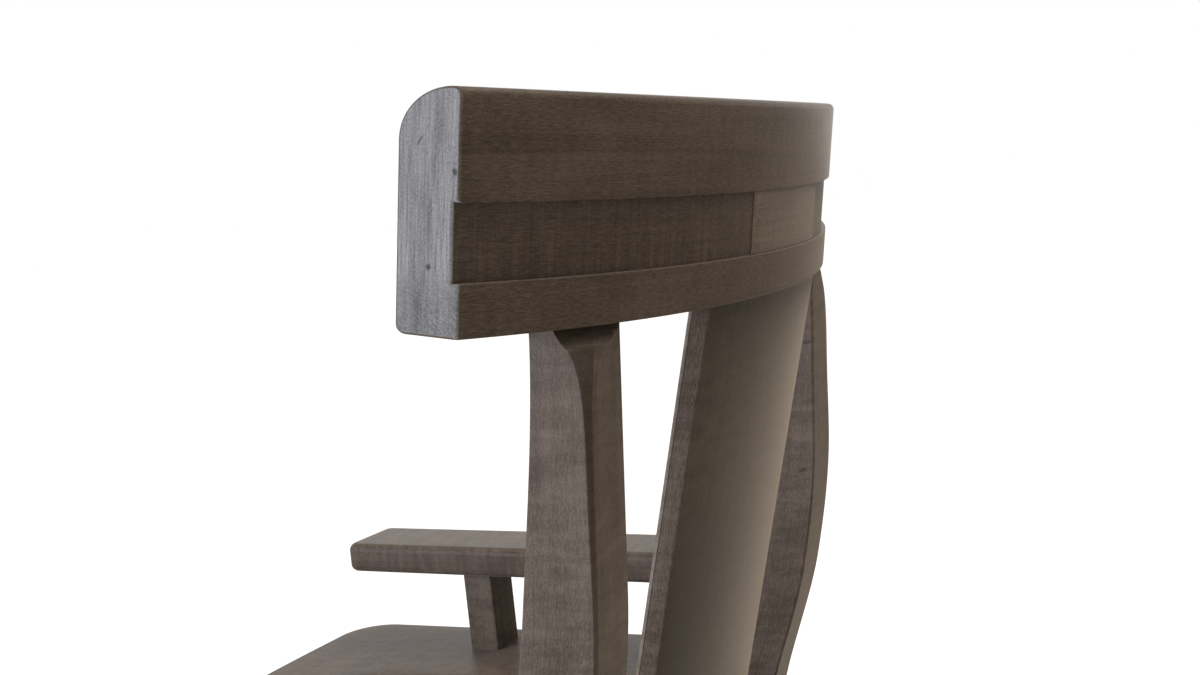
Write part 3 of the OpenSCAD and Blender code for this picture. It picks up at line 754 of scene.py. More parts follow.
@dataclass
class BackFrame:
    """The back: a bent crest rail with its groove blocks, two posts and the splat."""
    finishes: Finishes
    crest_top: float = 985.0
    crest_len: float = 670.0
    crest_h: float = 130.0
    crest_t: float = 32.5
    crest_r: float = 712.0
    crest_lean: float = math.radians(9.0)
    # What sanding takes off the rail's top, and the radius of the CAD rail's top rear edge
    crest_sanded: float = 0.5
    crest_ease: float = 2.0
    # Radii of the rail's section: front foot, rear foot, rear top, front top, and the groove's lips
    crest_radii: tuple[float, ...] = (5.0, 0.8, 4.5, 28.0, 0.5)
    crest_least_r: float = 0.2
    crest_arris: float = 1.2
    crest_steps: int = 96
    round_steps: int = 18
    groove_low: float = 29.0
    groove_high: float = 71.0
    groove_d: float = 3.8
    block_w: float = 77.0
    block_bevel: float = 8.0
    block_set: float = 1.5
    block_joint: float = 0.3
    block_arris: float = 0.35
    # Bands of faces at a block's ends that take a painted highlight, paler than the block: the whole bevel
    block_highlight_bands: int = 5
    # How much lower a block's face is beside the middle joint, and how far from it that ends
    block_sunk: float = 0.25
    block_sunk_run: float = 0.8
    # How far through the grain's pattern a block lies, and how far across it the splat lies
    block_through: float = 40.0
    splat_across: float = 130.0
    post_x: float = 240.5
    post_w: float = 52.5
    post_top_d: float = 34.5
    post_bend_d: float = 46.0
    post_knee_d: float = 50.0
    post_foot_d: float = 36.0
    post_bend_set: float = 53.5
    post_arm_set: float = 73.0
    post_knee_set: float = 126.0
    post_foot_set: float = 30.0
    post_foot_h: float = 4.0
    post_foot_arris: float = 2.0
    post_arris: float = 1.4
    post_inner_bevel: float = 1.6
    post_steps: int = 110
    # How far below the rail a post's last level ring lies, how far over the rail's foot its head's
    # section is taken, and how far the head goes into the rail
    post_head: float = 2.0
    post_over: float = 1.0
    post_sink: float = 0.8
    foot_splay: float = 1.2
    knee_drop: float = 83.0
    bend_h: float = 700.0
    bend_taper: float = 1.3
    # How far the post's curves run on above the rail's foot
    run_on: float = 35.0
    # The outer rear chamfer: its width at the foot, and in the side and the rear above where it widens
    chamfer_foot: float = 2.0
    chamfer_side: float = 0.3
    chamfer_rear: float = 6.5
    chamfer_widens: Flat = (560.0, 680.0)
    side_widens: Flat = (700.0, 770.0)
    # What the flare under the rail adds to it: sizes at the rail, and over what drop they fade
    side_flare: Flat = (16.7, 15.5)
    rear_flare: Flat = (30.0, 16.0)
    rear_swell: Flat = (6.0, 90.0)
    flute_share: Flat = (0.3, 20.0)
    # What the flare leaves of the post's rear face
    rear_land: float = 8.0
    scoop_r: float = 32.0
    scoop_up: float = 13.0
    scoop_set: float = 9.0
    # The cutter runs past both sides of the post: from this angle round the rail's bend, over this sweep
    scoop_from: float = 0.16
    scoop_sweep: float = 0.36
    scoop_steps: int = 48
    scoop_sides: int = 128
    splat_w: float = 254.0
    splat_t: float = 14.0
    splat_belly: float = 9.0
    splat_face_t: float = 2.4
    splat_glue: float = 0.8
    splat_ease: float = 1.0
    splat_steps: int = 28
    splat_rows: int = 44
    # How far the splat goes into the seat and into the rail
    splat_sink: float = 0.4
    splat_top_set: float = 7.5
    splat_foot_set: float = 104.0
    seat_top: float = 483.0
    arm_top: float = 588.0
    rear_line: list[Triple] = field(init=False)
    depth_line: list[Triple] = field(init=False)

    def __post_init__(self) -> None:
        """Work out the chair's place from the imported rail, the rail's foot and the post's curves."""
        ease, lean = self.crest_ease, self.crest_lean
        rear_limit = (self.crest_h - ease) * math.sin(lean) + ease * (1 - math.cos(lean))
        self.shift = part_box("crest_rail")[1].y / MM - rear_limit
        self.crest_foot = self.crest_top - self.crest_h * math.cos(lean)
        top = self.from_crest(self.post_x, self.crest_back(self.post_x), 0.0)
        top_y, top_h = top.y - self.shift, top.z
        knee_h, last = self.seat_top - self.knee_drop, top_h + self.run_on
        foot_slope = -self.foot_splay * (self.post_knee_set - self.post_foot_set) / knee_h
        arm_slope = (self.post_knee_set - self.post_bend_set) / (self.bend_h - knee_h)
        upper = (top_y + self.post_bend_set) / (top_h - self.bend_h)
        taper = -self.bend_taper * (self.post_bend_d - self.post_top_d) / (top_h - self.bend_h)
        self.post_top_h = top_h
        self.rear_line = [(0.0, -self.post_foot_set, foot_slope), (knee_h, -self.post_knee_set, 0.0),
                          (self.arm_top, -self.post_arm_set, arm_slope),
                          (self.bend_h, -self.post_bend_set, upper),
                          (last, top_y + upper * self.run_on, upper)]
        self.depth_line = [(0.0, self.post_foot_d, 0.0), (knee_h, self.post_knee_d, 0.0),
                           (self.bend_h, self.post_bend_d, taper), (top_h, self.post_top_d, 0.0),
                           (last, self.post_top_d, 0.0)]

    def crest_back(self, x: float) -> float:
        """The rail's rear face in its own frame, at a distance from the middle."""
        return math.sqrt(self.crest_r ** 2 - x * x) - self.crest_r

    def from_crest(self, x: float, y: float, z: float) -> Vector:
        """A point of the leaning rail's own frame, on the chair."""
        c, s = math.cos(self.crest_lean), math.sin(self.crest_lean)
        return Vector((x, y * c + z * s + self.shift, self.crest_foot - y * s + z * c))

    def bent(self, radius: float, angle: float, z: float) -> Vector:
        """A point of the rail from its radius and its angle round the bend, on the chair."""
        return self.from_crest(radius * math.sin(angle), radius * math.cos(angle) - self.crest_r, z)

    def crest_grain(self, point: Vector) -> Vector:
        """Grain runs round the rail's bend.

        Args:
            point: The point, in millimetres.

        Returns:
            Its grain coordinates.
        """
        c, s = math.cos(self.crest_lean), math.sin(self.crest_lean)
        back, up = point.y - self.shift, point.z - self.crest_foot
        y, z = back * c - up * s + self.crest_r, back * s + up * c
        return Vector((math.atan2(point.x, y) * self.crest_r, z, math.hypot(point.x, y) - self.crest_r))

    def post_rear(self, z: float) -> float:
        """The post's rear edge at a height."""
        return hermite_at(self.rear_line, z) + self.shift

    def post_front(self, z: float) -> float:
        """The post's front edge at a height."""
        return self.post_rear(z) - hermite_at(self.depth_line, z)

    def crest_section(self, inset: float = 0.0) -> list[Flat]:
        """The rail's section: depth from the rear face, and height.

        Args:
            inset: How far every side is drawn in.

        Returns:
            The section's points, counterclockwise.
        """
        front, rear = -self.crest_t + inset, -inset
        low, high = inset, self.crest_h - self.crest_sanded - inset
        floor = -self.groove_d - inset
        groove_low, groove_high = self.groove_low - inset, self.groove_high + inset
        foot_r, ease, crown_r, top_r, lip = (max(r - inset, self.crest_least_r)
                                             for r in self.crest_radii)
        wide = rear - crown_r - front
        turns = [math.radians(90 + 90 * i / self.round_steps) for i in range(1, self.round_steps + 1)]
        return (corner_arc((front + foot_r, low + foot_r), foot_r, 180, 270)
                + corner_arc((rear - ease, low + ease), ease, 270, 360)
                + corner_arc((rear - lip, groove_low - lip), lip, 0, 90)
                + [(floor, groove_low), (floor, groove_high)]
                + corner_arc((rear - lip, groove_high + lip), lip, 270, 360)
                + corner_arc((rear - crown_r, high - crown_r), crown_r, 0, 90)
                + [(front + wide + wide * math.cos(a), high - top_r + top_r * math.sin(a)) for a in turns])

    def make_crest(self) -> None:
        """The bent rail, with its groove, its big rounded front top edge and its sawn ends."""
        half, steps = self.crest_len / 2, self.crest_steps
        inner = half - self.crest_arris
        stations = [(half - off, inset) for off, inset in eased_ends(self.crest_arris)]
        rows = [(-reach, inset) for reach, inset in stations]
        rows += [(inner * (2 * i / steps - 1), 0.0) for i in range(1, steps)]
        rows += reversed(stations)
        rings = []
        for reach, inset in rows:
            ring = []
            for depth, z in self.crest_section(inset):
                r = self.crest_r + depth
                inside = abs(reach) <= inner
                angle = math.asin(inner / r) * reach / inner if inside else math.asin(reach / r)
                ring.append(self.bent(r, angle, z))
            rings.append(ring)
        floor = 3 * (ARRIS_STEPS + 1)
        ends = Extra(self.finishes.sawn_end_painted_light, ARRIS_STEPS, range(ARRIS_STEPS + 1, floor + 2 + ARRIS_STEPS),
                     ((floor, floor, self.finishes.recess),))
        add_piece("crest_rail", rings, self.crest_grain, self.finishes.rail_wood, extra=ends)

    def make_groove_block(self, side: Side) -> None:
        """A block that fills the groove from the middle, bevelled down at its outer end.

        Args:
            side: Which block.
        """
        low, high, floor, face = self.groove_low, self.groove_high, -self.groove_d, -self.block_set
        thin = floor + (self.groove_d - self.block_set) / 3
        joint, bevel, e = self.block_joint / 4, self.block_w - self.block_bevel, self.block_arris
        # Close together where the face turns: beside the joint, and along the bevel
        places = [joint + d for d in (0.0, 0.25, 0.8, 1.4, 2.0, 2.5, 12.0, 24.0, 38.0, 52.0)]
        places += [bevel + d for d in (-0.6, 0.0, 0.6, 2.5, 5.0, 7.5, self.block_bevel)]
        rings = []
        for x in places:
            over = max(0.0, x - bevel) / self.block_bevel
            sunk = self.block_sunk * max(0.0, 1 - (x - joint) / self.block_sunk_run)
            top = face + (thin - face) * over - sunk
            outline = [(floor, low), (top - e, low), (top, low + e), (top, high - e), (top - e, high),
                       (floor, high)]
            rings.append([self.bent(self.crest_r + depth, math.asin(x / (self.crest_r + depth)), z)
                          for depth, z in outline])
        start = Vector((GrainStart.BLOCK.value, 0.0, self.block_through))
        # The bevel takes a painted highlight, paler than the block
        add_piece("groove_block", rings, lambda p: self.crest_grain(p) + start,
                  self.finishes.block_wood_painted_light, side, Extra(self.finishes.worn, self.block_highlight_bands))

    def post_grain(self, side: Side) -> GrainAt:
        """Grain runs up the bent post.

        Args:
            side: Which post, so that the two differ.

        Returns:
            The grain coordinates' function.
        """
        start = GrainStart.POST.value * side.value

        def at(point: Vector) -> Vector:
            """Grain coordinates from the middle of the post's section."""
            middle = (self.post_rear(point.z) + self.post_front(point.z)) / 2
            return Vector((point.z + start, point.x - side.value * self.post_x, point.y - middle))
        return at

    def make_post(self, side: Side) -> None:
        """One post with its rear leg, chamfered on the outer rear corner and scooped under the rail.

        Args:
            side: Which post.
        """
        foot = self.post_foot_h + self.post_foot_arris
        top = self.post_top_h - self.post_head
        heights = [(self.post_foot_h + off, inset) for off, inset in eased_ends(self.post_foot_arris)]
        heights += [(foot + (top - foot) * i / self.post_steps, 0.0) for i in range(1, self.post_steps + 1)]
        rings = [[Vector((x, y, z)) for x, y in self.post_ring(z, inset)] for z, inset in heights]
        slope, head = math.tan(self.crest_lean), self.crest_foot + self.post_sink
        rings.append([Vector((x, y, head - (y - self.shift) * slope))
                      for x, y in self.post_ring(self.post_top_h + self.post_over, 0.0)])
        first = 2 * (ARRIS_STEPS + 1)
        # The flute's strip takes painted shade, darker than the post
        flute = Extra(self.finishes.show_wood, strips=((first, first + 3, self.finishes.hollow),))
        add_piece("back_post", rings, self.post_grain(side), self.finishes.show_wood, side, flute,
                  self.scoop_cutter(side))

    def post_ring(self, z: float, inset: float) -> list[Flat]:
        """The post's level section at a height.

        The outer rear corner has a chamfer that flares up into the scoop, and cuts deeper into the
        outer side than into the rear.

        Args:
            z: The height.
            inset: How far the section is drawn in.

        Returns:
            The section's points.
        """
        below = max(0.0, self.post_top_h - z)

        def fading(size: float, run: float) -> float:
            """What is left here of a size that fades below the rail."""
            return size * math.exp(-below / run)
        x0, x1 = self.post_x - self.post_w / 2 + inset, self.post_x + self.post_w / 2 - inset
        y0, y1 = self.post_front(z) + inset, self.post_rear(z) - inset
        side_cut = self.chamfer_side + smooth_step(*self.side_widens, z) + fading(*self.side_flare)
        widest = self.chamfer_rear + fading(*self.rear_swell) + fading(*self.rear_flare)
        widened = (widest - self.chamfer_foot) * smooth_step(*self.chamfer_widens, z)
        rear_cut = min(self.chamfer_foot + widened, x1 - x0 - self.rear_land)
        hollow = min(side_cut, rear_cut) * fading(*self.flute_share)
        start, end = Vector((x1, y1 - side_cut)), Vector((x1 - rear_cut, y1))
        pull = (start + end) / 2 - Vector((hollow, hollow))
        flute = [start * (1 - s) ** 2 + pull * 2 * s * (1 - s) + end * s ** 2
                 for s in (0.0, 0.25, 0.5, 0.75, 1.0)]
        ease, bevel = self.post_arris, self.post_inner_bevel
        # Points beside each turn keep its shading narrow
        near, nearer, sunk = 0.6, 0.5, 0.15
        return (corner_arc((x0 + ease, y0 + ease), ease, 180, 270)
                + corner_arc((x1 - ease, y0 + ease), ease, 270, 360)
                + [(x1, y1 - side_cut - near)] + [(p.x, p.y) for p in flute]
                + [(x1 - rear_cut - near, y1), (x0 + bevel + nearer, y1), (x0 + bevel, y1 - sunk),
                   (x0 + sunk, y1 - bevel), (x0, y1 - bevel - nearer)])

    def scoop_cutter(self, side: Side) -> bpy.types.Object:
        """The round bar whose cut lets the post's top end follow the rail's bend.

        Args:
            side: Which post it cuts.

        Returns:
            The bar.
        """
        path_r = self.crest_r - self.scoop_set + math.sqrt(self.scoop_r ** 2 - self.scoop_up ** 2)
        turns = [2 * math.pi * i / self.scoop_sides for i in range(self.scoop_sides)]
        circle = [(path_r + self.scoop_r * math.cos(t), self.scoop_up + self.scoop_r * math.sin(t))
                  for t in turns]

        def place(radius: float, z: float, share: float) -> Vector:
            """A point of the bar at a share of its way round the rail's bend."""
            return self.bent(radius, self.scoop_from + self.scoop_sweep * share, z)
        # The scoop's cut faces take the painted shade
        return mesh_object("scoop_cutter", skin(swept(circle, self.scoop_steps, place), side),
                           self.finishes.hollow)

    def make_splat(self) -> None:
        """The wide bowed splat between the seat and the rail."""
        foot_y, crest_lean = -self.splat_foot_set, self.crest_lean
        head = self.from_crest(0.0, -self.splat_top_set, 0.0)
        lean = math.atan2(head.y - self.shift - foot_y, head.z - self.seat_top)

        def place(x: float, y: float, share: float) -> Vector:
            """A point of the section at a share of the way from the seat to the rail.

            Args:
                x: Its place across the splat.
                y: Its place through the splat.
                share: The share.

            Returns:
                The point on the chair.
            """
            low = y * math.tan(lean) - self.splat_sink
            rise = (foot_y + y * math.cos(lean)) * math.sin(crest_lean) + (
                self.seat_top - self.crest_foot - y * math.sin(lean)) * math.cos(crest_lean)
            high = -rise / math.cos(lean - crest_lean) + self.splat_sink
            z = low + (high - low) * share
            return Vector((x, foot_y + y * math.cos(lean) + z * math.sin(lean) + self.shift,
                           self.seat_top - y * math.sin(lean) + z * math.cos(lean)))

        def grain(p: Vector) -> Vector:
            """Grain runs up the leaning board."""
            return Vector((p.z + GrainStart.SPLAT.value, p.x + self.splat_across,
                           p.y - p.z * math.tan(lean)))
        add_piece("back_splat", swept(self.splat_section(), self.splat_rows, place), grain,
                  self.finishes.splat_wood, extra=self.splat_edges())

    def splat_section(self) -> list[Flat]:
        """The splat's bowed section, seen from above, counterclockwise.

        Returns:
            The section's points.
        """
        half, ease, steps = self.splat_w / 2, self.splat_ease, self.splat_steps
        radius = (half ** 2 + self.splat_belly ** 2) / (2 * self.splat_belly)
        front_r = radius - self.splat_t
        edge = math.sqrt(radius ** 2 - half ** 2) - radius
        front_edge = math.sqrt(front_r ** 2 - half ** 2) - radius
        inner = half - ease
        across = [-inner + 2 * inner * i / steps for i in range(steps + 1)]
        glue = front_edge + self.splat_face_t
        right = corner_arc((inner, front_edge + ease), ease, 270, 360)[1:]
        right += [(half, glue), (half, glue + self.splat_glue)]
        right += corner_arc((inner, edge - ease), ease, 0, 90)[:-1]
        return ([(x, math.sqrt(front_r ** 2 - x * x) - radius) for x in across] + right
                + [(x, math.sqrt(radius ** 2 - x * x) - radius) for x in reversed(across)]
                + [(-x, y) for x, y in reversed(right)])

    def splat_edges(self) -> Extra:
        """The finishes on the splat's two edges: a pale front ply, partly painted light, a dark glue line,
        then the core.

        Returns:
            The strips, with the splat's own finish for its ends.
        """
        wood, lip = self.finishes, ARRIS_STEPS
        plies = (wood.worn, wood.hollow, wood.show_wood)
        spans = ((0, lip), (lip + 1, lip + 1), (lip + 2, 2 * lip + 2))
        sides = ((self.splat_steps, plies), (2 * self.splat_steps + 2 * lip + 3, plies[::-1]))
        return Extra(wood.splat_wood, strips=tuple(
            (start + low, start + high, ply)
            for start, run in sides for (low, high), ply in zip(spans, run)))

    def build(self) -> None:
        """Make every piece of the back."""
        self.make_crest()
        for side in Side:
            self.make_groove_block(side)
            self.make_post(side)
        self.make_splat()


@dataclass
class SeatBoard:
    """The solid seat: bowed front, rounded corners, notched round the posts and dished for the sitter."""
    finishes: Finishes
    back: BackFrame
    front_w: float = 648.0
    rear_w: float = 640.0
    thickness: float = 34.0
    tail: float = 16.0
    bow: float = 14.0
    corner: float = 50.0
    rear_corner: float = 26.0
    hollow_d: float = 13.0
    hollow_w: float = 420.0
    # A higher power softens the hollow's rim
    hollow_power: float = 1.15
    hollow_steps: int = 26
    tongue_steps: int = 16
    top_arris: float = 5.0
    foot_arris: float = 2.5
    fit: float = 0.1

    @property
    def top(self) -> float:
        """The height of the seat's rim."""
        return self.back.seat_top

    def outline(self) -> list[Flat]:
        """The board's plan, counterclockwise from the right notch.

        Returns:
            The outline's points.
        """
        back = self.back
        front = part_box("seat")[0].y / MM
        rear = -back.splat_foot_set + self.tail + back.shift
        shoulder_y = back.post_front(self.top)
        notch_x, notch_y = back.post_x - back.post_w / 2 - self.fit, shoulder_y - self.fit

        widens = (self.front_w - self.rear_w) / 2 / (shoulder_y - front)

        def half_at(y: float) -> float:
            """Half the board's width at a place from front to rear."""
            return self.rear_w / 2 + widens * (shoulder_y - y)
        corner_y = front + self.bow + self.corner
        corner_x = half_at(corner_y) - self.corner
        bow_r = (corner_x ** 2 + self.bow ** 2) / (2 * self.bow)
        bow_half = math.degrees(math.asin(corner_x / bow_r))
        shoulder_x = half_at(shoulder_y)
        sides = [(shoulder_x - self.rear_corner, notch_y - self.rear_corner)]
        right = corner_arc(sides[0], self.rear_corner, 90, 0, steps=8) + corner_arc(
            (corner_x, corner_y), self.corner, 0, -90, steps=14)
        left = [(-x, y) for x, y in reversed(right)]
        bow = corner_arc((0.0, front + bow_r), bow_r, -90 + bow_half, -90 - bow_half, steps=20)[1:-1]
        count = self.tongue_steps
        tongue = [(-notch_x + 2 * notch_x * i / count, rear) for i in range(count + 1)]
        run = [(notch_x, notch_y + (rear - notch_y) * s) for s in (0.66, 0.33, 0.0)]
        return list(reversed(tongue + run + right + bow + left + [(-x, y) for x, y in reversed(run)]))

    def dish(self, x: float, y: float, middle_y: float) -> float:
        """How far the top is hollowed at a place."""
        t = math.hypot(x, y - middle_y) / (self.hollow_w / 2)
        return self.hollow_d * max(0.0, 1 - t * t) ** self.hollow_power

    def build(self) -> None:
        """Make the seat board."""
        outline = self.outline()
        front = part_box("seat")[0].y / MM
        middle_y = (self.back.post_front(self.top) + front + self.bow) / 2
        under = self.top - self.thickness
        rings = [[Vector((x, y, under + off)) for x, y in drawn_in(outline, inset)]
                 for off, inset in eased_ends(self.foot_arris)]
        rings += [[Vector((x, y, self.top - off)) for x, y in drawn_in(outline, inset)]
                  for off, inset in reversed(eased_ends(self.top_arris))]
        rim = rings[-1]
        for k in range(1, self.hollow_steps):
            share = 1 - k / self.hollow_steps
            places = [(p.x * share, middle_y + (p.y - middle_y) * share) for p in rim]
            rings.append([Vector((x, y, self.top - self.dish(x, y, middle_y))) for x, y in places])
        add_piece("seat", rings, grain_from("xyz", GrainStart.SEAT.value), self.finishes.show_wood)


@dataclass
class Arms:
    """The two arms, butted to the posts and standing on square supports."""
    finishes: Finishes
    back: BackFrame
    seat: SeatBoard
    width: float = 75.0
    thickness: float = 30.0
    inner_x: float = 240.5
    reach: float = 448.0
    tilt: float = math.radians(1.0)
    tail: float = 34.0
    cut: float = 6.0
    corner: float = 11.0
    arris: float = 7.5
    support_w: float = 45.0
    support_d: float = 32.0
    support_in: float = 35.0
    support_back: float = 147.0
    support_arris: float = 2.2
    # How far a support goes into the seat, and how much longer it is for the arm's tilt
    support_sink: float = 0.2
    support_more: float = 0.3
    support_steps: int = 10
    # How far apart the two arms lie along the grain, and the two supports across it
    grain_apart: float = 900.0
    support_apart: float = 70.0
    fit: float = 0.1

    def __post_init__(self) -> None:
        """Work out where the arm starts and ends."""
        self.top = self.back.arm_top
        middle = self.top - self.thickness / 2
        self.pivot_y = self.back.post_front(middle)
        self.front_y = self.pivot_y - self.reach
        self.tail_y = self.pivot_y + self.tail

    def tilted(self, point: Vector) -> Vector:
        """A point of the level arm, raised towards the front.

        Args:
            point: The point, in millimetres.

        Returns:
            The same point of the tilted arm.
        """
        c, s = math.cos(self.tilt), math.sin(self.tilt)
        y, z = point.y - self.pivot_y, point.z - self.top
        return Vector((point.x, self.pivot_y + y * c + z * s, self.top - y * s + z * c))

    def outline(self, z: float) -> list[Flat]:
        """The arm's plan at a height, counterclockwise, following the post's sloping front.

        Args:
            z: The height.

        Returns:
            The outline's points.
        """
        out_x, c = self.inner_x + self.width, self.corner
        slant = math.degrees(math.atan2(self.cut, self.width))
        post_side = self.back.post_x + self.back.post_w / 2 + self.fit
        butt = self.back.post_front(z) - self.fit
        inner_y = self.front_y + c * (1 + math.tan(math.radians(slant / 2)))
        inner = corner_arc((self.inner_x + c, inner_y), c, 180, 270 + slant, steps=8)
        outer_y = self.front_y + self.cut + c * math.tan(math.radians(45 - slant / 2))
        outer = corner_arc((out_x - c, outer_y), c, 270 + slant, 360, steps=6)
        heel = corner_arc((out_x - c, self.tail_y - c), c, 0, 90, steps=8)
        return inner + outer + heel + [(post_side, self.tail_y), (post_side, (self.tail_y + butt) / 2),
                                       (post_side, butt), (self.inner_x, butt)]

    def make_arm(self, side: Side) -> None:
        """One arm: a thick board with well rounded edges.

        Args:
            side: Which arm.
        """
        ends = eased_ends(self.arris, steps=6)
        rings = []
        rows = [(self.top - self.thickness + off, inset) for off, inset in ends]
        rows += [(self.top - off, inset) for off, inset in reversed(ends)]
        post_side = self.back.post_x + self.back.post_w / 2 + self.fit
        for z, inset in rows:
            butt = self.back.post_front(z) - self.fit
            outline = drawn_in(self.outline(z), inset) if inset else self.outline(z)
            outline[-4:] = [(post_side, outline[-4][1]), (post_side, outline[-3][1]), (post_side, butt),
                            (outline[-1][0], butt)]
            rings.append([self.tilted(Vector((x, y, z))) for x, y in outline])
        start = GrainStart.ARM.value + self.grain_apart * side.value
        grain = grain_from("yxz", start, -side.value * self.inner_x)
        add_piece("arm", rings, grain, self.finishes.show_wood, side)

    def make_support(self, side: Side) -> None:
        """The square post under an arm.

        Args:
            side: Which arm's support.
        """
        x, y = self.inner_x + self.support_in, self.front_y + self.support_back
        half_w, half_d, under = self.support_w / 2, self.support_d / 2, self.top - self.thickness
        outline = eased_rectangle((x - half_w, y - half_d), (x + half_w, y + half_d),
                                  (self.support_arris,) * 4)

        def place(px: float, py: float, share: float) -> Vector:
            """A point of the section at a share of the way from the seat to the tilted arm."""
            rise = self.tilted(Vector((px, py, under))).z + self.support_more - self.seat.top
            return Vector((px, py, self.seat.top - self.support_sink + rise * share))
        grain = grain_from("zxy", GrainStart.SUPPORT.value, self.support_apart * side.value)
        add_piece("arm_support", swept(outline, self.support_steps, place), grain,
                  self.finishes.show_wood, side)

    def build(self) -> None:
        """Make both arms and their supports."""
        for side in Side:
            self.make_arm(side)
            self.make_support(side)


@dataclass
class Undercarriage:
    """Front legs, aprons and stretchers."""
    finishes: Finishes
    back: BackFrame
    seat: SeatBoard
    leg_w: float = 48.0
    leg_foot_w: float = 34.0
    leg_x: float = 257.0
    glide_t: float = 4.0
    apron_h: float = 66.0
    apron_t: float = 22.0
    apron_x: float = 245.0
    stretcher_h: float = 150.0
    stretcher_sec: float = 34.0
    stretcher_t: float = 20.0
    foot_arris: float = 2.0
    leg_arris: float = 2.2
    # Heights of a leg's rings besides those at its ends and at the aprons' foot
    leg_rows: tuple[float, ...] = (60.0, 110.0, 160.0, 210.0, 260.0, 310.0, 350.0, 400.0, 425.0)
    bar_arris: float = 1.8
    bar_steps: int = 12
    # How far the grain moves on for each millimetre of a bar's height or of its place from front to rear
    side_bar_grain: float = 5.0
    cross_bar_grain: float = 17.0
    joint: float = 0.8

    def __post_init__(self) -> None:
        """Take the front leg's place from its CAD node."""
        self.leg_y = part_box("front_leg_left")[0].y / MM + self.leg_w / 2
        self.under = self.seat.top - self.seat.thickness
        self.apron_low = self.under - self.apron_h

    def leg_faces(self, z: float) -> Flat:
        """The leg's inner face and rear face at a height, tapered below the aprons.

        Args:
            z: The height.

        Returns:
            The inner face's place across and the rear face's place from front to rear.
        """
        drop = max(0.0, (self.apron_low - z) / (self.apron_low - self.glide_t))
        taper = (self.leg_w - self.leg_foot_w) * drop
        return self.leg_x - self.leg_w / 2 + taper, self.leg_y + self.leg_w / 2 - taper

    def make_leg(self, side: Side) -> None:
        """One front leg, tapered on its two inner faces.

        Args:
            side: Which leg.
        """
        rows = [(self.glide_t + off, inset) for off, inset in eased_ends(self.foot_arris)]
        rows += [(z, 0.0) for z in sorted((*self.leg_rows, self.apron_low, self.under))]
        rings = []
        for z, inset in rows:
            inner, rear = self.leg_faces(z)
            low, high = (inner, self.leg_y - self.leg_w / 2), (self.leg_x + self.leg_w / 2, rear)
            ring = eased_rectangle(low, high, (self.leg_arris,) * 4, inset)
            rings.append([Vector((x, y, z)) for x, y in ring])
        add_piece("front_leg", rings, grain_from("zxy", GrainStart.LEG.value * side.value),
                  self.finishes.show_wood, side)

    def make_bar(self, kind: str, middle: float, z: Flat, thickness: float,
                 ends: Callable[[float], Flat], side: Side | None = None) -> None:
        """A bar that runs along one side of the chair, or across it.

        Args:
            kind: The name of its CAD node, without its side.
            middle: The middle of its thickness.
            z: Its lowest and highest edge.
            thickness: Its thickness.
            ends: Gives where it starts and ends at a height.
            side: Which side of the chair it's on, or none if it runs across.
        """
        outline = eased_rectangle((middle - thickness / 2, z[0]), (middle + thickness / 2, z[1]),
                                  (self.bar_arris,) * 4)

        def place(across: float, height: float, share: float) -> Vector:
            """A point of the section at a share of the way between the bar's ends.

            Args:
                across: Its place through the bar.
                height: Its height.
                share: The share.

            Returns:
                The point on the chair.
            """
            first, last = ends(height)
            along = first + (last - first) * share
            return Vector((across, along, height) if side else (along, across, height))
        if side:
            start = GrainStart.SIDE_BAR.value * side.value
            grain = grain_from("yzx", start + self.side_bar_grain * z[0])
        else:
            grain = grain_from("xzy", self.cross_bar_grain * middle)
        add_piece(kind, swept(outline, self.bar_steps, place), grain, self.finishes.show_wood, side)

    def beside(self, z: float) -> Flat:
        """Where a bar along a side starts and ends at a height."""
        return self.leg_faces(z)[1] - self.joint, self.back.post_front(z) + self.joint

    def build(self) -> None:
        """Make the legs, aprons and stretchers."""
        apron = (self.apron_low, self.under)
        bar = (self.stretcher_h - self.stretcher_sec / 2, self.stretcher_h + self.stretcher_sec / 2)
        for side in Side:
            self.make_leg(side)
            self.make_bar("side_apron", self.apron_x, apron, self.apron_t, self.beside, side)
            self.make_bar("side_stretcher", self.apron_x, bar, self.stretcher_t, self.beside, side)
        crossing = (
            ("front_apron", apron, self.apron_t, self.leg_x - self.leg_w / 2),
            ("rear_apron", apron, self.apron_t, self.back.post_x - self.back.post_w / 2),
            ("cross_stretcher", bar, self.stretcher_t, self.apron_x - self.stretcher_t / 2),
        )
        for node, z, thickness, half in crossing:
            low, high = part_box(node)
            reach = half + self.joint
            self.make_bar(node, (low.y + high.y) / 2 / MM, z, thickness, lambda _: (-reach, reach))


@dataclass
class Fixings:
    """The small CAD solids that keep their shape: blocks, screws, dowels and glides."""
    finishes: Finishes
    frame: dict
    bevel: float = 0.4
    bevel_steps: int = 2
    bevel_from: float = math.radians(40)

    def build(self) -> None:
        """Give each carried-over CAD node its finish and a small bevel."""
        beech, zinc = self.finishes.plain_wood, self.finishes.zinc
        table = {
            "corner_blocks": beech,
            "crest_dowels": beech,
            "arm_dowels": beech,
            "corner_block_screws": zinc,
            "seat_screws": zinc,
            "support_screws": zinc,
            "floor_glides": self.finishes.nylon,
        }
        for node, material in table.items():
            piece = self.frame["nodes"][node]
            for slot in piece.material_slots:
                slot.material = material
            if not piece.material_slots:
                piece.data.materials.append(material)
            ease = piece.modifiers.new("ease", "BEVEL")
            ease.width = self.bevel * MM
            ease.segments = self.bevel_steps
            ease.limit_method = "ANGLE"
            ease.angle_limit = self.bevel_from
            log.info("%s: kept from the CAD model", node)


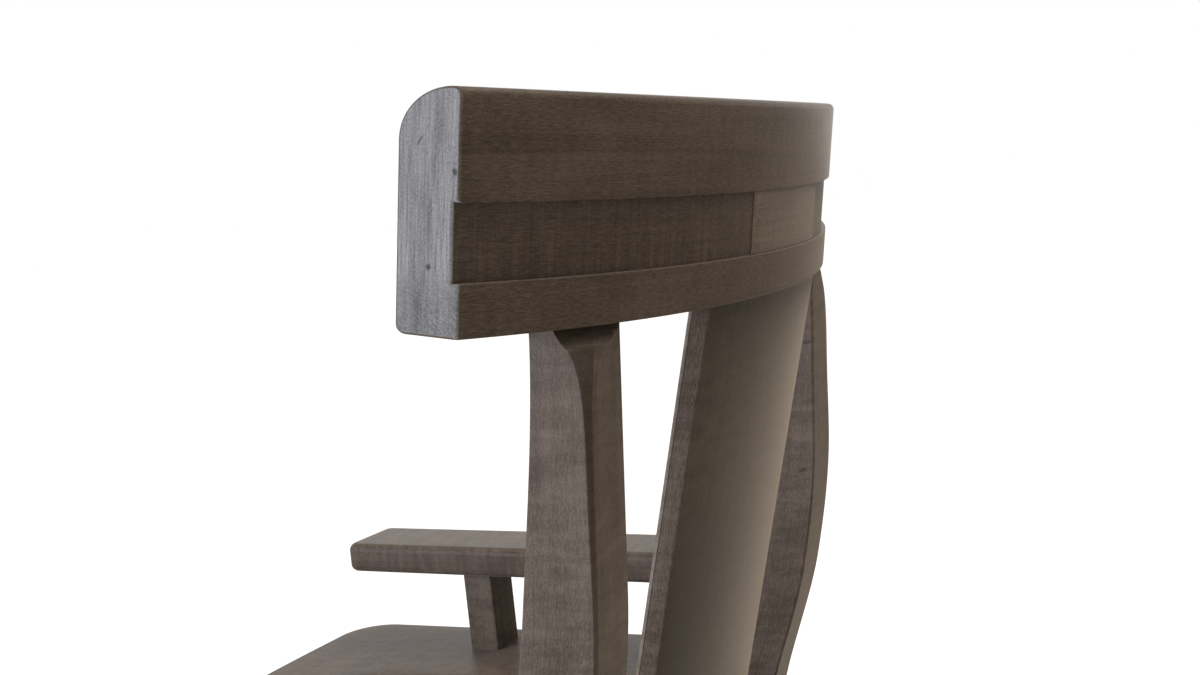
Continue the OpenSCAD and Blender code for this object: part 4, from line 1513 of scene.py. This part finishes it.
@dataclass(frozen=True)
class Softbox:
    """A square lamp: where it stands and what it faces, in metres, its side, its power and its colour."""
    name: str
    place: Triple
    target: Triple
    size: float
    watts: float
    colour: str

    def hang(self) -> None:
        """Put the lamp in the scene."""
        data = bpy.data.lights.new(self.name, "AREA")
        data.shape = "SQUARE"
        data.size = self.size
        data.energy = self.watts
        data.color = linear(self.colour)[:3]
        lamp = bpy.data.objects.new(self.name, data)
        lamp.location = self.place
        towards = Vector(self.target) - Vector(self.place)
        lamp.rotation_euler = towards.to_track_quat("-Z", "Y").to_euler()
        bpy.context.scene.collection.objects.link(lamp)


@dataclass
class Studio:
    """A pale floor, a white surround, soft lamps and the camera."""
    lens: float = 42.13
    sensor: float = 36.0
    clip_start: float = 0.01
    camera_at: Triple = (0.96271, 0.58888, 0.94073)
    heading: float = math.radians(24.138)
    pitch: float = math.radians(6.098)
    roll: float = math.radians(-5.884)
    world_level: float = 0.34
    world_tone: str = "fff6ea"
    floor_half: float = 30.0
    floor_tone: str = "c9c6c2"
    # Light of its own, seen by the camera alone, that makes the floor look white
    floor_glow: float = 0.85
    lamps: tuple[Softbox, ...] = (
        Softbox("window", (2.5, -1.5, 1.3), (0.0, 0.0, 0.75), 2.4, 94.0, "e8eeff"),
        Softbox("ceiling", (-0.5, 1.3, 3.0), (0.0, 0.1, 0.7), 1.8, 32.0, "fff0dc"),
    )

    def make_camera(self) -> None:
        """The photograph's viewpoint, behind the chair on its left side."""
        data = bpy.data.cameras.new("camera")
        data.lens = self.lens
        data.sensor_width = self.sensor
        data.clip_start = self.clip_start
        camera = bpy.data.objects.new("camera", data)
        c, s = math.cos(self.heading), math.sin(self.heading)
        forward = Vector((-c * math.cos(self.pitch), -s * math.cos(self.pitch), -math.sin(self.pitch)))
        level = Vector((-s, c, 0.0))
        up = level.cross(forward)
        right = level * math.cos(self.roll) + up * math.sin(self.roll)
        top = up * math.cos(self.roll) - level * math.sin(self.roll)
        turn = Matrix((right, top, -forward)).transposed()
        camera.matrix_world = Matrix.Translation(self.camera_at) @ turn.to_4x4()
        bpy.context.scene.collection.objects.link(camera)
        bpy.context.scene.camera = camera

    def make_world(self) -> None:
        """White to the camera and in reflections, and a soft grey fill for the object."""
        world = bpy.data.worlds.new("studio")
        bpy.context.scene.world = world
        world.use_nodes = True
        tree = world.node_tree
        tree.nodes.clear()
        path = add_node(tree, "LightPath").outputs
        seen = add_node(tree, "Math", {0: path["Is Camera Ray"], 1: path["Is Glossy Ray"]},
                        operation="MAXIMUM")
        seen = add_node(tree, "Math", {0: seen.outputs[0], 1: path["Is Transmission Ray"]},
                        operation="MAXIMUM")
        strength = add_node(tree, "MapRange", {"Value": seen.outputs[0]},
                            {"To Min": self.world_level}).outputs[0]
        tone = add_node(tree, "Mix", {"Factor": seen.outputs[0]},
                        {6: linear(self.world_tone), 7: linear("ffffff")}, data_type="RGBA")
        light = add_node(tree, "Background", {"Strength": strength, "Color": tone.outputs[2]})
        add_node(tree, "OutputWorld", {"Surface": light.outputs[0]})

    def make_floor(self) -> None:
        """A wide pale floor that looks white and still keeps the chair's shadow."""
        mesh = bpy.data.meshes.new("floor")
        half = self.floor_half
        mesh.from_pydata([(-half, -half, 0), (half, -half, 0), (half, half, 0), (-half, half, 0)], [],
                         [(0, 1, 2, 3)])
        floor = bpy.data.objects.new("floor", mesh)
        bpy.context.scene.collection.objects.link(floor)
        material, tree, shader = new_material("pale_floor")
        camera_ray = add_node(tree, "LightPath").outputs["Is Camera Ray"]
        glow = add_node(tree, "Math", {0: camera_ray}, {1: self.floor_glow}, operation="MULTIPLY").outputs[0]
        set_inputs(tree, shader, {"Emission Strength": glow}, {
            "Base Color": linear(self.floor_tone), "Roughness": 0.9, "Emission Color": linear("ffffff")})
        mesh.materials.append(material)

    def build(self) -> None:
        """Set the scene around the chair."""
        bpy.context.scene.view_settings.view_transform = "Standard"
        self.make_camera()
        self.make_world()
        self.make_floor()
        for lamp in self.lamps:
            lamp.hang()


def make_finishes() -> Finishes:
    """Make every finish once, with the knocks that the pieces carry.

    Returns:
        The finishes.
    """
    knocks = (
        Dent((-215.0, 256.9, 788.6), (3.0, 5.0, 2.6), 10.0, 0.5),
        Dent((-215.0, 243.0, 675.6), (3.0, 6.0, 2.4), 20.0, 0.5),
    )
    end_knocks = (
        Dent((335.0, 237.0, 955.6), (3.0, 1.8, 2.6), 20.0),
        Dent((335.0, 215.0, 908.8), (3.0, 2.0, 2.2)),
        Dent((335.0, 218.9, 973.6), (3.0, 0.6, 4.2), -42.0),
    )
    splat = GrainStart.SPLAT.value
    return Finishes(
        show_wood=StainedMaple("stained_maple", dents=knocks).make(),
        rail_wood=StainedMaple("stained_maple_rail", curl_share=0.07).make(),
        recess=StainedMaple("stained_maple_groove", dark="4a4039", middle="5a4f47", light="6b6056",
                            chatter=5.0, curl_share=0.07).make(),
        # The blocks are painted lighter than the rail, standing in for the light that grazes them
        block_wood_painted_light=StainedMaple("stained_maple_block_painted_light", dark="635950", middle="73685e", light="84786d",
                                sheen=0.5, curl_share=0.07).make(),
        # Paler tones: a painted highlight on the blocks' bevels, and the splat's pale front ply, partly
        # painted light
        worn=StainedMaple("stained_maple_pale_ply_and_highlight", dark="6f6459", middle="82766b", light="96897d").make(),
        # Painted shade for the flute and scoop, and the splat's real dark glue line
        hollow=StainedMaple("stained_maple_glue_and_painted_shade", dark="3e352d", middle="4a4037", light="574d43",
                            sheen=0.2).make(),
        # The splat carries painted shade towards its foot
        splat_wood=StainedMaple("stained_maple_splat", dark="31271d", middle="3f3529", light="4f4437",
                                sheen=1.0, sheen_roughness=0.27, painted_foot_shade=0.45,
                                foot_span=(splat + 630.0, splat + 760.0)).make(),
        # The end is painted paler for the light that falls on it
        sawn_end_painted_light=SawnEnd("sawn_maple_end_painted_light", dents=end_knocks).make(),
        plain_wood=PlainBeech("plain_beech").make(),
        zinc=ZincSteel("zinc_plated_steel").make(),
        nylon=GlideNylon("moulded_nylon").make(),
    )


def main() -> None:
    """Load the frame, dress it and set the studio."""
    logging.basicConfig(level=logging.INFO, format="%(message)s")
    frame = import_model()
    finishes = make_finishes()
    back = BackFrame(finishes)
    back.build()
    seat = SeatBoard(finishes, back)
    seat.build()
    Arms(finishes, back, seat).build()
    Undercarriage(finishes, back, seat).build()
    Fixings(finishes, frame).build()
    Studio().build()


if __name__ == "__main__":
    main()
